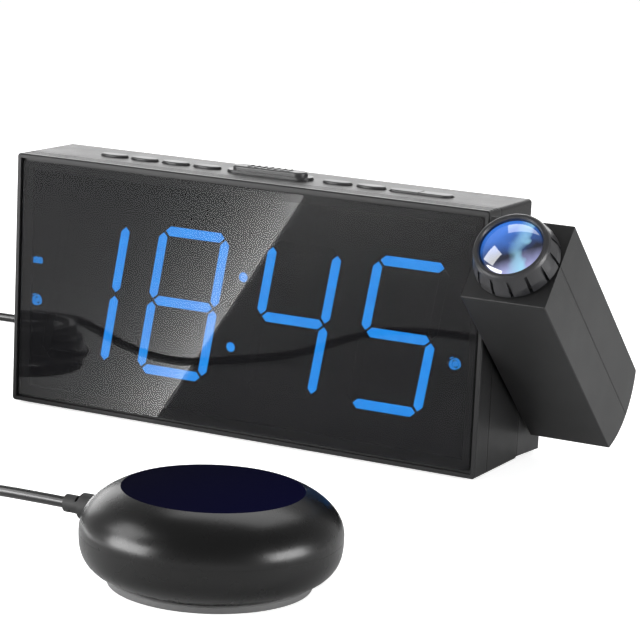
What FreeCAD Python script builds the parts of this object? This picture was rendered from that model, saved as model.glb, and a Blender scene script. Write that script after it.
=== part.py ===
import FreeCAD, Part

import math
import os

import Sketcher

V = FreeCAD.Vector

# Driving sizes in millimetres and degrees
SIZES = {
    "case_width": 180.0,
    "case_height": 88.0,
    "bezel_depth": 9.1,
    "case_depth": 33.5,
    "bump_depth": 19.7,
    "bump_height": 54.0,
    "bump_lift": 1.0,
    "wall": 2.0,
    "corner": 1.2,
    "foot_height": 1.0,
    "foot_inset": 9.0,
    "foot_depth": 8.0,
    "foot_length": 150.0,
    "lip": 1.5,
    "window_gap": 0.9,
    "window_set_back": 0.5,
    "window_thick": 1.5,
    "ledge": 4.0,
    "ledge_thick": 1.2,
    "groove_width": 0.6,
    "groove_depth": 0.35,
    "mask_thick": 3.0,
    "mask_margin": 5.0,
    "digit_height": 49.0,
    "digit_width": 24.2,
    "digit_pitch": 39.3,
    "pair_gap": 42.4,
    "digit_centre": -2.1,
    "digit_middle": 43.6,
    "stroke": 3.3,
    "stroke_gap": 0.6,
    "slant": 0.157,
    "dot_size": 3.3,
    "led_height": 1.0,
    "board_thick": 1.6,
    "key_row": 17.8,
    "key_long": 10.6,
    "key_wide": 5.6,
    "key_rise": 0.8,
    "key_gap": 0.25,
    "key_flange": 1.0,
    "key_lap": 0.6,
    "key_travel": 0.5,
    "stem_size": 3.2,
    "snooze_long": 32.0,
    "snooze_wide": 8.4,
    "snooze_step": 0.9,
    "snooze_top_long": 28.0,
    "snooze_top_wide": 6.4,
    "snooze_rise": 2.4,
    "rocker_long": 22.6,
    "rocker_wide": 5.6,
    "rocker_rise": 0.7,
    "pin_size": 1.5,
    "run_gap": 0.05,
    "switch_size": 6.0,
    "switch_height": 3.5,
    "plunger_height": 0.9,
    "key_board_drop": 14.0,
    "pivot_height": 35.6,
    "arm_gap": 1.5,
    "arm_width": 28.4,
    "arm_thick": 31.0,
    "arm_reach": 61.2,
    "arm_corner": 23.7,
    "arm_tilt": 48.05,
    "arm_edge": 0.5,
    "hub_size": 18.0,
    "hub_bore": 10.0,
    "hub_flange": 24.0,
    "ring_base": 28.0,
    "ring_top": 24.0,
    "ring_height": 9.0,
    "ring_bore": 20.6,
    "ring_neck": 23.0,
    "grip_count": 14,
    "grip_width": 1.0,
    "grip_depth": 0.9,
    "lens_size": 20.0,
    "lens_dome": 2.6,
    "lens_edge": 2.4,
    "lens_drop": 1.3,
    "barrel_length": 16.0,
    "optics_base": 14.0,
    "optics_length": 26.0,
    "shaker_x": 75.0,
    "shaker_y": -144.0,
    "shaker_radius": 36.8,
    "shaker_height": 29.5,
    "shaker_split": 14.5,
    "shaker_pad": 25.6,
    "pad_thick": 1.6,
    "base_pad": 21.0,
    "base_pad_thick": 1.0,
    "motor_size": 14.0,
    "motor_length": 24.0,
    "motor_height": 14.0,
    "shaft_size": 2.0,
    "weight_radius": 8.5,
    "weight_thick": 9.0,
    "cord_size": 3.3,
    "boot_size": 7.6,
    "boot_length": 7.0,
    "collar_size": 5.2,
    "collar_length": 5.5,
    "jack_x": -62.0,
    "jack_height": 18.0,
    "plug_size": 8.0,
    "plug_length": 16.0,
    "plug_boot": 8.0,
    "coil_x": -120.0,
    "coil_y": -59.0,
    "coil_radius": 23.2,
    "coil_pitch": 4.7,
    "coil_half_turns": 4,
}

# Key places along the top, from the middle of the case to the right
KEYS = {
    "set_button": -61.3,
    "alarm_one_button": -49.0,
    "alarm_two_button": -36.5,
    "sound_button": -24.0,
    "shake_button": 26.3,
    "display_button": 38.9,
}
SNOOZE_X = 0.6
ROCKER_X = 57.4
ROCKER_STEM = 7.0

doc = FreeCAD.newDocument("projection_alarm_clock")
dims = doc.addObject("Spreadsheet::Sheet", "dims")
for line, (name, value) in enumerate(SIZES.items(), 1):
    dims.set(f"A{line}", name)
    dims.set(f"B{line}", str(value))
    dims.setAlias(f"B{line}", name)
doc.recompute()

NODES = []


def size(name):
    """The sheet's value of one driving size."""
    return float(dims.get(name))


def bind(thing, **formulas):
    """Ties properties to sheet formulas; a double underscore stands for a dot."""
    for path, text in formulas.items():
        thing.setExpression(path.replace("__", "."), expand(text))


def expand(text):
    """Writes the sheet's name before each size named in a formula."""
    words = []
    word = ""
    for letter in str(text) + " ":
        if letter.isalnum() or letter == "_":
            word += letter
            continue
        words.append(f"dims.{word}" if word in SIZES else word)
        words.append(letter)
        word = ""
    return "".join(words).strip()


def node(thing, label, frame="clock"):
    """Names a finished piece and puts it in the clock, arm or shaker frame."""
    if thing.TypeId in ("Part::Box", "Part::Cylinder", "Part::Fillet"):
        thing = group(thing.Name + "_seat", [thing])
    thing.Label = label
    if frame == "arm":
        thing.Placement = FreeCAD.Placement(V(), FreeCAD.Rotation(V(1, 0, 0), size("arm_tilt")))
        bind(thing, Placement__Rotation__Angle="arm_tilt",
             Placement__Base__y="case_depth - foot_inset", Placement__Base__z="pivot_height")
    elif frame == "shaker":
        bind(thing, Placement__Base__x="shaker_x", Placement__Base__y="shaker_y - foot_inset")
    elif frame == "clock":
        bind(thing, Placement__Base__y="-foot_inset")
    NODES.append(thing)
    return thing


# Solid helpers: every size is a formula on the sheet
def box(name, x0, x1, y0, y1, z0, z1):
    """A block between two corners."""
    block = doc.addObject("Part::Box", name)
    bind(block, Length=f"({x1}) - ({x0})", Width=f"({y1}) - ({y0})", Height=f"({z1}) - ({z0})",
         Placement__Base__x=x0, Placement__Base__y=y0, Placement__Base__z=z0)
    return block


TURNS = {"z": FreeCAD.Rotation(), "x": FreeCAD.Rotation(V(0, 1, 0), 90), "y": FreeCAD.Rotation(V(1, 0, 0), -90)}


def rod(name, radius, length, x, y, z, along="z"):
    """A cylinder that starts at a point and runs along an axis."""
    bar = doc.addObject("Part::Cylinder", name)
    bar.Placement = FreeCAD.Placement(V(), TURNS[along])
    bind(bar, Radius=radius, Height=length, Placement__Base__x=x, Placement__Base__y=y, Placement__Base__z=z)
    return bar


def oval(name, long, wide, z0, z1, x, y):
    """An upright elliptical block centred on a point."""
    rim = doc.addObject("Part::Ellipse", name + "_rim")
    bind(rim, MajorRadius=f"({long}) / 2", MinorRadius=f"({wide}) / 2",
         Placement__Base__x=x, Placement__Base__y=y, Placement__Base__z=z0)
    solid = doc.addObject("Part::Extrusion", name)
    solid.Base = rim
    solid.DirMode = "Custom"
    solid.Dir = V(0, 0, 1)
    solid.Solid = True
    bind(solid, LengthFwd=f"({z1}) - ({z0})")
    return solid


def stadium(name, long, wide, z0, z1, x, y):
    """An upright block with half-round ends, centred on a point."""
    half = f"(({long}) - ({wide})) / 2"
    middle = box(name + "_middle", f"({x}) - {half}", f"({x}) + {half}",
                 f"({y}) - ({wide}) / 2", f"({y}) + ({wide}) / 2", z0, z1)
    ends = [rod(f"{name}_end{side}", f"({wide}) / 2", f"({z1}) - ({z0})", f"({x}) {sign} {half}", y, z0)
            for side, sign in enumerate("-+")]
    return fuse(name, middle, *ends)


def fuse(name, *pieces):
    """One solid from several that touch or overlap."""
    whole = doc.addObject("Part::MultiFuse", name)
    whole.Shapes = list(pieces)
    whole.Refine = True
    return whole


def cut(name, base, *tools):
    """A solid less its cutters."""
    rest = doc.addObject("Part::Cut", name)
    rest.Base = base
    rest.Tool = tools[0] if len(tools) == 1 else fuse(name + "_cutters", *tools)
    return rest


def group(name, pieces):
    """Separate like solids under one name."""
    whole = doc.addObject("Part::Compound", name)
    whole.Links = list(pieces)
    return whole


def built(name, shape):
    """A piece whose shape comes from a formula in code."""
    thing = doc.addObject("Part::Feature", name)
    thing.Shape = shape
    return thing


def rounded(name, base, radius, choose):
    """Rounds the edges that a test picks."""
    doc.recompute()
    soft = doc.addObject("Part::Fillet", name)
    soft.Base = base
    soft.Edges = [(i, radius, radius) for i, edge in enumerate(base.Shape.Edges, 1) if choose(edge)]
    return soft


# Sketch helpers
def new_body(name):
    return doc.addObject("PartDesign::Body", name)


def sketch(body, name, role, height="0"):
    """A sketch on one of the body's own origin planes, lifted along its normal."""
    flat = body.newObject("Sketcher::SketchObject", name)
    flat.AttachmentSupport = [(next(f for f in body.Origin.OriginFeatures if f.Role == role), "")]
    flat.MapMode = "FlatFace"
    bind(flat, AttachmentOffset__Base__z=height)
    return flat


def pin_point(flat, item, spot, x, y):
    """Fixes one point of a sketch item at a pair of formulas."""
    now = flat.getPoint(item, spot)
    for kind, text, value in (("DistanceX", x, now.x), ("DistanceY", y, now.y)):
        index = flat.addConstraint(Sketcher.Constraint(kind, -1, 1, item, spot, value))
        flat.setExpression(f"Constraints[{index}]", expand(text))


def outline(flat, points):
    """A closed outline of straight lines through points given as formulas."""
    first = flat.GeometryCount
    count = len(points)
    start = [V(10 * math.cos(6.283 * i / count), 10 * math.sin(6.283 * i / count), 0) for i in range(count)]
    for i in range(count):
        flat.addGeometry(Part.LineSegment(start[i], start[(i + 1) % count]))
    for i in range(count):
        flat.addConstraint(Sketcher.Constraint("Coincident", first + i, 2, first + (i + 1) % count, 1))
        pin_point(flat, first + i, 1, *points[i])
    return flat


def rectangle(flat, x0, x1, y0, y1):
    return outline(flat, [(x0, y0), (x1, y0), (x1, y1), (x0, y1)])


def circle(flat, x, y, radius):
    """A circle given by formulas."""
    item = flat.addGeometry(Part.Circle(V(0, 0, 0), V(0, 0, 1), 1.0))
    pin_point(flat, item, 3, x, y)
    index = flat.addConstraint(Sketcher.Constraint("Radius", item, 1.0))
    flat.setExpression(f"Constraints[{index}]", expand(radius))
    return flat


def feature(body, kind, name, flat, length=None, back=False, through=False):
    """A pad or pocket of one sketch."""
    step = body.newObject("PartDesign::" + kind, name)
    step.Profile = flat
    step.Reversed = back
    if through:
        step.Type = 1
    else:
        bind(step, Length=length)
    flat.Visibility = False
    return step


def revolved(body, name, points):
    """A full turn about the upright axis of an outline in the front plane."""
    flat = outline(sketch(body, name + "_outline", "XZ_Plane"), points)
    step = body.newObject("PartDesign::Revolution", name)
    step.Profile = flat
    step.ReferenceAxis = (flat, ["V_Axis"])
    step.Angle = 360
    return step


def edges_where(shape, test):
    return [f"Edge{i}" for i, edge in enumerate(shape.Edges, 1) if test(edge)]


def dress(body, kind, name, base, amount, test):
    """Rounds or bevels the edges of a feature that a test picks."""
    doc.recompute()
    step = body.newObject("PartDesign::" + kind, name)
    step.Base = (base, edges_where(base.Shape, test))
    bind(step, **{"Radius" if kind == "Fillet" else "Size": amount})
    return step


def along_y(edge):
    ends = [v.Point for v in edge.Vertexes]
    return len(ends) == 2 and abs(ends[0].x - ends[1].x) < 1e-6 and abs(ends[0].z - ends[1].z) < 1e-6


LEFT, RIGHT = "-case_width / 2", "case_width / 2"
LOW, HIGH = "foot_height", "foot_height + case_height"
TOP = "foot_height + case_height"


# Front bezel: frame round the window with a ledge that carries it
def front_bezel():
    body = new_body("bezel_body")
    flat = rectangle(sketch(body, "bezel_face", "XZ_Plane"), LEFT, RIGHT, LOW, HIGH)
    pad = feature(body, "Pad", "bezel_block", flat, "bezel_depth", back=True)
    soft = dress(body, "Fillet", "bezel_corners", pad, "corner", along_y)
    front = dress(body, "Chamfer", "bezel_bevel", soft, "corner / 3",
                  lambda e: max(v.Point.y for v in e.Vertexes) < 1e-6)
    recess = rectangle(sketch(body, "recess_face", "XZ_Plane"), f"{LEFT} + lip", f"{RIGHT} - lip",
                       f"{LOW} + lip", f"{HIGH} - lip")
    feature(body, "Pocket", "recess", recess, "window_set_back + window_thick")
    opening = rectangle(sketch(body, "opening_face", "XZ_Plane"), f"{LEFT} + lip + ledge",
                        f"{RIGHT} - lip - ledge", f"{LOW} + lip + ledge", f"{HIGH} - lip - ledge")
    feature(body, "Pocket", "opening", opening, through=True)
    rear = rectangle(sketch(body, "rear_face", "XZ_Plane", "-bezel_depth"), f"{LEFT} + wall",
                     f"{RIGHT} - wall", f"{LOW} + wall", f"{HIGH} - wall")
    feature(body, "Pocket", "rear_room", rear,
            "bezel_depth - window_set_back - window_thick - ledge_thick", back=True)
    for i, away in enumerate(("bezel_depth * 0.28", "bezel_depth * 0.5", "bezel_depth * 0.72")):
        strip = rectangle(sketch(body, f"ridge{i}", "YZ_Plane", f"{LEFT} - 1"), away,
                          f"{away} + groove_width", f"{TOP} - groove_depth", f"{TOP} + 1")
        feature(body, "Pocket", f"ridge_groove{i}", strip, "case_width + 2", back=True)
    return node(body, "front_bezel")


# Dark window that closes the front
def display_window():
    inset = "(lip + window_gap)"
    body = new_body("window_body")
    flat = rectangle(sketch(body, "pane_face", "XZ_Plane", "-window_set_back"), f"{LEFT} + {inset}",
                     f"{RIGHT} - {inset}", f"{LOW} + {inset}", f"{HIGH} - {inset}")
    pane = feature(body, "Pad", "pane", flat, "window_thick", back=True)
    dress(body, "Fillet", "pane_corners", pane, "corner", along_y)
    return node(body, "display_window")


# Seven slanted strokes to a digit, a to g


def stroke_shape(x, z, upright, y0, y1, grow):
    """One pointed stroke, centred on x and z above the middle of the digits."""
    half = size("digit_height") / 4 if upright else size("digit_width") / 2
    reach = half - size("stroke_gap") + grow
    thick = size("stroke") / 2 + grow
    tip = reach - size("stroke") / 2
    flat = [(-reach, 0), (-tip, thick), (tip, thick), (reach, 0), (tip, -thick), (-tip, -thick)]
    slant = size("slant")
    corners = []
    for u, w in flat:
        dx, dz = (w, u) if upright else (u, w)
        corners.append(V(x + dx + slant * (z + dz), y0, size("digit_middle") + z + dz))
    face = Part.Face(Part.makePolygon(corners + corners[:1]))
    return face.extrude(V(0, y1 - y0, 0))


def digit_centres():
    middle = size("digit_centre")
    inner, pitch = size("pair_gap") / 2, size("digit_pitch")
    return [middle - inner - pitch, middle - inner, middle + inner, middle + inner + pitch]


def display_strokes(y0, y1, grow=0.0):
    """Every stroke of the four digits and the two dots between them."""
    shapes = []
    half_w, half_h = size("digit_width") / 2, size("digit_height") / 2
    for x in digit_centres():
        for z in (-half_h, 0, half_h):
            shapes.append(stroke_shape(x, z, False, y0, y1, grow))
        for side in (-half_w, half_w):
            for z in (-half_h / 2, half_h / 2):
                shapes.append(stroke_shape(x + side, z, True, y0, y1, grow))
    for z in (-half_h / 2, half_h / 2):
        x = size("digit_centre") + size("slant") * z
        dot = Part.makeCylinder(size("dot_size") / 2 + grow, y1 - y0,
                                V(x, y0, size("digit_middle") + z), V(0, 1, 0))
        shapes.append(dot)
    return shapes


ICON_PLACES = [(-83.0, 51.4), (-83.0, 37.2), (79.0, 37.2)]
ICON_SIZE = 5.0


def icon_shapes(y0, y1, grow=0.0):
    """Small round light guides beside the digits."""
    return [Part.makeCylinder(ICON_SIZE / 2 + grow, y1 - y0, V(x, y0, z), V(0, 1, 0)) for x, z in ICON_PLACES]


def display_stack():
    """Mask, strokes, guides, lamps and board, one behind the other."""
    front = size("window_set_back") + size("window_thick") + size("ledge_thick")
    back = front + size("mask_thick")
    lamp = size("led_height")
    wide = size("case_width") / 2 - size("lip") - size("mask_margin") + 1.5
    low = size("foot_height") + size("lip") + size("mask_margin") - 1.5
    high = size("foot_height") + size("case_height") - size("lip") - size("mask_margin") + 1.5
    plate = Part.makeBox(2 * wide, back - front, high - low, V(-wide, front, low))
    clear = size("run_gap")
    wells = display_strokes(front - 1, back + 1, clear) + icon_shapes(front - 1, back + 1, clear)
    mask = plate.cut(wells)
    node(built("mask", mask), "segment_mask")
    node(built("strokes", Part.makeCompound(display_strokes(front, back - lamp))), "digit_segments")
    node(built("guides", Part.makeCompound(icon_shapes(front, back - lamp))), "icon_guides")
    lamps = []
    for shape in display_strokes(front, back) + icon_shapes(front, back):
        mid = shape.CenterOfMass
        lamps.append(Part.makeBox(2.0, lamp, 1.6, V(mid.x - 1.0, back - lamp, mid.z - 0.8)))
    node(built("lamps", Part.makeCompound(lamps)), "display_leds")
    thick = size("board_thick")
    board = box("display_card", f"-{wide}", wide, back, back + thick, low, high)
    node(board, "display_board")
    return back + thick


# Main casing: the open tube between the bezel and the rear cover
def key_holes(grow):
    """Cutters for every key on top, each with its gap."""
    holes = [oval(f"hole_{name}", f"key_long + 2 * {grow}", f"key_wide + 2 * {grow}",
                  f"{TOP} - wall - 1", f"{TOP} + 1", x, "key_row") for name, x in KEYS.items()]
    holes.append(stadium("hole_snooze", f"snooze_long + 2 * {grow}", f"snooze_wide + 2 * {grow}",
                         f"{TOP} - wall - 1", f"{TOP} + 1", SNOOZE_X, "key_row"))
    holes.append(stadium("hole_rocker", f"rocker_long + 3 * {grow}", f"rocker_wide + 2 * {grow}",
                         f"{TOP} - wall - 1", f"{TOP} + 1", ROCKER_X, "key_row"))
    return holes


PIN_Z = f"{TOP} - wall - 2.5"


def main_casing():
    body = new_body("casing_body")
    flat = rectangle(sketch(body, "casing_face", "XZ_Plane", "-bezel_depth"), LEFT, RIGHT, LOW, HIGH)
    pad = feature(body, "Pad", "casing_block", flat, "case_depth - bezel_depth", back=True)
    dress(body, "Fillet", "casing_corners", pad, "corner", along_y)
    room = rectangle(sketch(body, "casing_room_face", "XZ_Plane"), f"{LEFT} + wall", f"{RIGHT} - wall",
                     f"{LOW} + wall", f"{HIGH} - wall")
    feature(body, "Pocket", "casing_room", room, through=True)
    lugs = [box(f"rocker_lug{i}", f"{ROCKER_X} - 2", f"{ROCKER_X} + 2", f"key_row + {y}", f"key_row + {y} + 1.5",
                f"{PIN_Z} - 2", f"{TOP} - wall") for i, y in enumerate((-4.6, 3.1))]
    rails = [box(f"board_rail{i}", f"{x} - 2", f"{x} + 2", "key_row - 6", "key_row + 6",
                 f"{TOP} - key_board_drop", f"{TOP} - wall") for i, x in enumerate((-72, 74))]
    posts = []
    for i, (x, z) in enumerate(SCREW_PLACES):
        solid = rod(f"casing_post{i}", BOSS_RADIUS, f"({BOSS_FACE}) - bezel_depth - 1", x, "bezel_depth + 1",
                    f"{LOW} + {z}", "y")
        hole = rod(f"casing_post_hole{i}", SCREW_RADIUS, "30", x, "bezel_depth + 4", f"{LOW} + {z}", "y")
        posts.append(cut(f"casing_boss{i}", solid, hole))
    whole = fuse("casing_whole", body, *lugs, *rails, *posts)
    pin = rod("casing_pin_hole", "pin_size / 2", "12", ROCKER_X, "key_row - 6", PIN_Z, "y")
    hub = rod("casing_hub_hole", "hub_size / 2 + run_gap", "wall + 2", f"{RIGHT} - wall - 1", "case_depth",
              "pivot_height", "x")
    return node(cut("casing", whole, *key_holes("key_gap"), pin, hub), "main_casing")


# Rear cover: inset plate with the lower bump that holds the sockets and the cell
BUMP_BACK = "case_depth + bump_depth"
DOOR_X, DOOR_LOW, DOOR_SIZE, DOOR_THICK = 20.0, 18.0, 25.0, 1.5
SPEAKER_X, SPEAKER_RADIUS = 58.0, 13.0
SCREW_PLACES = [(-84.6, 78), (84.6, 78), (-84.6, 11), (84.6, 11)]
BOSS_RADIUS = 4.0
COVER_BOSS_RADIUS = 3.2
SCREW_RADIUS, HEAD_RADIUS = 1.2, 2.2
BOSS_FACE = "case_depth - wall - 6"


def screw_depth(z):
    """Face that a screw's head seats on: the plate above the bump, or deep inside the bump."""
    return "case_depth - 1" if z > size("bump_height") else "case_depth + 2"


def rear_cover():
    body = new_body("cover_body")
    plate = rectangle(sketch(body, "plate_face", "XZ_Plane", "-(case_depth - wall)"), f"{LEFT} + wall",
                      f"{RIGHT} - wall", f"{LOW} + wall", f"{HIGH} - wall")
    feature(body, "Pad", "plate", plate, "wall", back=True)
    side = outline(sketch(body, "bump_side", "YZ_Plane", LEFT), [
        ("case_depth", f"{LOW} + bump_lift"), (BUMP_BACK, LOW),
        (BUMP_BACK, f"{LOW} + bump_height - 12"), ("case_depth + bump_depth - 8", f"{LOW} + bump_height"),
        ("case_depth", f"{LOW} + bump_height")])
    bump = feature(body, "Pad", "bump", side, "case_width")
    dress(body, "Fillet", "bump_edges", bump, "corner",
          lambda e: min(v.Point.y for v in e.Vertexes) > size("case_depth") + size("bump_depth") - 8.5)
    room = outline(sketch(body, "bump_room", "YZ_Plane", f"{LEFT} + wall"), [
        ("case_depth - wall - 1", f"{LOW} + bump_lift + wall + 1"),
        (f"{BUMP_BACK} - wall", f"{LOW} + bump_lift + wall + 1"),
        (f"{BUMP_BACK} - wall", f"{LOW} + bump_height - 13"),
        (f"{BUMP_BACK} - wall - 8", f"{LOW} + bump_height - wall"),
        ("case_depth - wall - 1", f"{LOW} + bump_height - wall")])
    feature(body, "Pocket", "bump_space", room, "case_width - 2 * wall", back=True)
    doc.recompute()
    door_y = f"{BUMP_BACK} - {DOOR_THICK}"
    well = box("cell_well", DOOR_X - 14, DOOR_X + 14, f"{BUMP_BACK} - 9", f"{BUMP_BACK} - wall",
               f"{LOW} + {DOOR_LOW} - 2", f"{LOW} + {DOOR_LOW} + 22")
    bosses = []
    for i, (x, z) in enumerate(SCREW_PLACES):
        end = "case_depth - wall" if z > size("bump_height") else f"{BUMP_BACK} - 1"
        bosses.append(rod(f"boss{i}", COVER_BOSS_RADIUS, f"({end}) - ({BOSS_FACE})", x, BOSS_FACE, f"{LOW} + {z}", "y"))
    frame = rod("speaker_rim", f"{SPEAKER_RADIUS} + 1.5", "3", SPEAKER_X, f"{BUMP_BACK} - wall - 3",
                f"{LOW} + 24", "y")
    whole = fuse("cover_whole", body, well, *bosses, frame)
    cutters = [
        box("door_seat", DOOR_X - DOOR_SIZE / 2 - 0.3, DOOR_X + DOOR_SIZE / 2 + 0.3, door_y, f"{BUMP_BACK} + 1",
            f"{LOW} + {DOOR_LOW} - 1.3", f"{LOW} + bump_height"),
        rod("cell_seat", "10.4", "6", DOOR_X, f"{BUMP_BACK} - {DOOR_THICK} - 4", f"{LOW} + {DOOR_LOW} + 10.5", "y"),
        rod("cover_hub_hole", "hub_size / 2 + run_gap", "wall + 2", f"{RIGHT} - wall - 1", "case_depth",
            "pivot_height", "x"),
        rod("cover_hub_room", "hub_flange / 2 + 1.5", "10", f"{RIGHT} - wall - 10", "case_depth",
            "pivot_height", "x"),
        rod("speaker_seat", SPEAKER_RADIUS, "4", SPEAKER_X, f"{BUMP_BACK} - wall - 4", f"{LOW} + 24", "y"),
        rod("plug_hole", "plug_size / 2 - 1", "4", "jack_x", f"{BUMP_BACK} - 3", "jack_height", "y"),
        rod("power_hole", "3", "4", "jack_x + 20", f"{BUMP_BACK} - 3", "jack_height", "y"),
        box("usb_hole", "jack_x + 33", "jack_x + 46", f"{BUMP_BACK} - 3", f"{BUMP_BACK} + 1",
            "jack_height - 2.6", "jack_height + 2.6"),
    ]
    for i, (x, z) in enumerate(SCREW_PLACES):
        cutters.append(rod(f"screw_hole{i}", SCREW_RADIUS, "40", x, "case_depth - wall - 7", f"{LOW} + {z}", "y"))
        cutters.append(rod(f"screw_sink{i}", f"{HEAD_RADIUS} + 0.2", "40", x, screw_depth(z), f"{LOW} + {z}", "y"))
    for row in (-2, -1, 0, 1, 2):
        wide = 9.0 - abs(row) * 1.6
        cutters.append(box(f"grille{row + 2}", SPEAKER_X - wide, SPEAKER_X + wide, f"{BUMP_BACK} - wall - 1",
                           f"{BUMP_BACK} + 1", f"{LOW} + 24 + {row * 3.6} - 0.7", f"{LOW} + 24 + {row * 3.6} + 0.7"))
    return node(cut("cover", whole, *cutters), "rear_cover")


def rear_pieces():
    """What the rear cover holds: cell, door, sockets, speaker and screws."""
    door = box("door_plate", DOOR_X - DOOR_SIZE / 2, DOOR_X + DOOR_SIZE / 2, f"{BUMP_BACK} - {DOOR_THICK}",
               BUMP_BACK, f"{LOW} + {DOOR_LOW} - 1", f"{LOW} + {DOOR_LOW} + 23")
    grips = [box(f"door_grip{i}", DOOR_X - 6, DOOR_X + 6, f"{BUMP_BACK} - 0.5", f"{BUMP_BACK} + 1",
                 f"{LOW} + {DOOR_LOW} + {4 + 2 * i}", f"{LOW} + {DOOR_LOW} + {4.8 + 2 * i}") for i in range(4)]
    node(cut("door", door, *grips), "battery_door")
    node(rod("cell", "10", "3.2", DOOR_X, f"{BUMP_BACK} - {DOOR_THICK} - 3.4", f"{LOW} + {DOOR_LOW} + 10.5", "y"),
         "backup_cell")
    node(rod("contact", "7", "0.6", DOOR_X, f"{BUMP_BACK} - {DOOR_THICK} - 4", f"{LOW} + {DOOR_LOW} + 10.5", "y"),
         "cell_contact")
    front = f"{BUMP_BACK} - wall - 10"
    holder = f"{BUMP_BACK} - wall"
    shaker = cut("shaker_socket", box("shaker_socket_block", "jack_x - 5", "jack_x + 5", front, holder,
                                      "jack_height - 5", "jack_height + 5"),
                 rod("shaker_socket_bore", "2.8", "12", "jack_x", f"{front} + 2", "jack_height", "y"))
    node(shaker, "shaker_jack")
    power = cut("power_socket", box("power_socket_block", "jack_x + 15", "jack_x + 25", front, holder,
                                    "jack_height - 5", "jack_height + 5"),
                rod("power_socket_bore", "2.75", "12", "jack_x + 20", f"{front} + 2", "jack_height", "y"))
    prong = rod("power_prong", "1", "7", "jack_x + 20", f"{front} + 1.5", "jack_height", "y")
    node(fuse("power_inlet", power, prong), "power_jack")
    usb = cut("usb_socket", box("usb_shell", "jack_x + 32.5", "jack_x + 46.5", front, holder,
                                "jack_height - 3.2", "jack_height + 3.2"),
              box("usb_room", "jack_x + 33", "jack_x + 46", f"{front} + 1", f"{holder} + 1",
                  "jack_height - 2.6", "jack_height + 2.6"))
    tongue = box("usb_tongue", "jack_x + 34", "jack_x + 45", f"{front} + 0.5", f"{holder} - 1",
                 "jack_height + 0.4", "jack_height + 2.4")
    node(fuse("usb_whole", usb, tongue), "usb_port")
    board = box("logic_card", "jack_x - 18", "jack_x + 62", f"{front} - board_thick", front,
                "jack_height - 8", "jack_height + 18")
    node(board, "main_board")
    cone = rod("speaker_body", f"{SPEAKER_RADIUS} - 0.1", "2.9", SPEAKER_X, f"{BUMP_BACK} - wall - 2.9",
               f"{LOW} + 24", "y")
    magnet = rod("speaker_magnet", "7", "4", SPEAKER_X, f"{BUMP_BACK} - wall - 6.9", f"{LOW} + 24", "y")
    node(fuse("speaker_whole", cone, magnet), "speaker")
    screws = []
    for i, (x, z) in enumerate(SCREW_PLACES):
        deep = screw_depth(z)
        shank = rod(f"shank{i}", SCREW_RADIUS, "14", x, f"{deep} - 14", f"{LOW} + {z}", "y")
        head = rod(f"head{i}", HEAD_RADIUS, "1", x, deep, f"{LOW} + {z}", "y")
        screws.append(fuse(f"screw{i}", shank, head))
    node(group("screws", screws), "case_screws")


def feet():
    """Two rubber strips under the case."""
    node(box("front_strip", "-foot_length / 2", "foot_length / 2", "foot_inset - foot_depth / 2",
             "foot_inset + foot_depth / 2", 0, LOW), "front_foot")
    node(box("rear_strip", "-foot_length / 2", "foot_length / 2", "case_depth - 2 - foot_depth",
             "case_depth - 2", 0, LOW), "rear_foot")


# Keys on top
STEM_LOW = f"{TOP} - key_board_drop + switch_height + plunger_height + key_travel + 0.1"


def oval_keys():
    for name, x in KEYS.items():
        cap = oval(name + "_cap", "key_long", "key_wide", f"{TOP} - wall - 0.1", f"{TOP} + key_rise", x, "key_row")
        doc.recompute()
        soft = rounded(name + "_crown", cap, size("key_rise") * 0.6,
                       lambda e: e.BoundBox.ZMin > size("foot_height") + size("case_height"))
        flange = oval(name + "_flange", "key_long + 2 * key_lap", "key_wide + 2 * key_lap",
                      f"{TOP} - wall - key_flange", f"{TOP} - wall", x, "key_row")
        stem = rod(name + "_stem", "stem_size / 2", f"({TOP} - wall) - ({STEM_LOW})", x, "key_row", STEM_LOW)
        node(fuse(name + "_whole", soft, flange, stem), name)


def snooze_bar():
    base = stadium("snooze_base", "snooze_long", "snooze_wide", f"{TOP} - wall - 0.1", f"{TOP} + snooze_step",
                   SNOOZE_X, "key_row")
    top = stadium("snooze_top", "snooze_top_long", "snooze_top_wide", TOP, f"{TOP} + snooze_rise",
                  SNOOZE_X, "key_row")
    soft = rounded("snooze_crown", top, 0.6, lambda e: e.BoundBox.ZMin > size("foot_height") + size("case_height") + 1)
    flange = stadium("snooze_flange", "snooze_long + 2 * key_lap", "snooze_wide + 2 * key_lap", f"{TOP} - wall - key_flange",
                     f"{TOP} - wall", SNOOZE_X, "key_row")
    stem = rod("snooze_stem", "stem_size / 2", f"({TOP} - wall) - ({STEM_LOW})", SNOOZE_X, "key_row", STEM_LOW)
    ribs = [box(f"snooze_rib{i}", f"{SNOOZE_X} + {dx} - 0.4", f"{SNOOZE_X} + {dx} + 0.4", "key_row - 1.8",
                "key_row + 1.8", f"{TOP} + snooze_rise - 0.2", f"{TOP} + snooze_rise + 0.25")
            for i, dx in enumerate((-7.5, -5, -2.5, 0, 2.5, 5, 7.5))]
    return node(fuse("snooze_whole", base, soft, flange, stem, *ribs), "snooze_bar")


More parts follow.
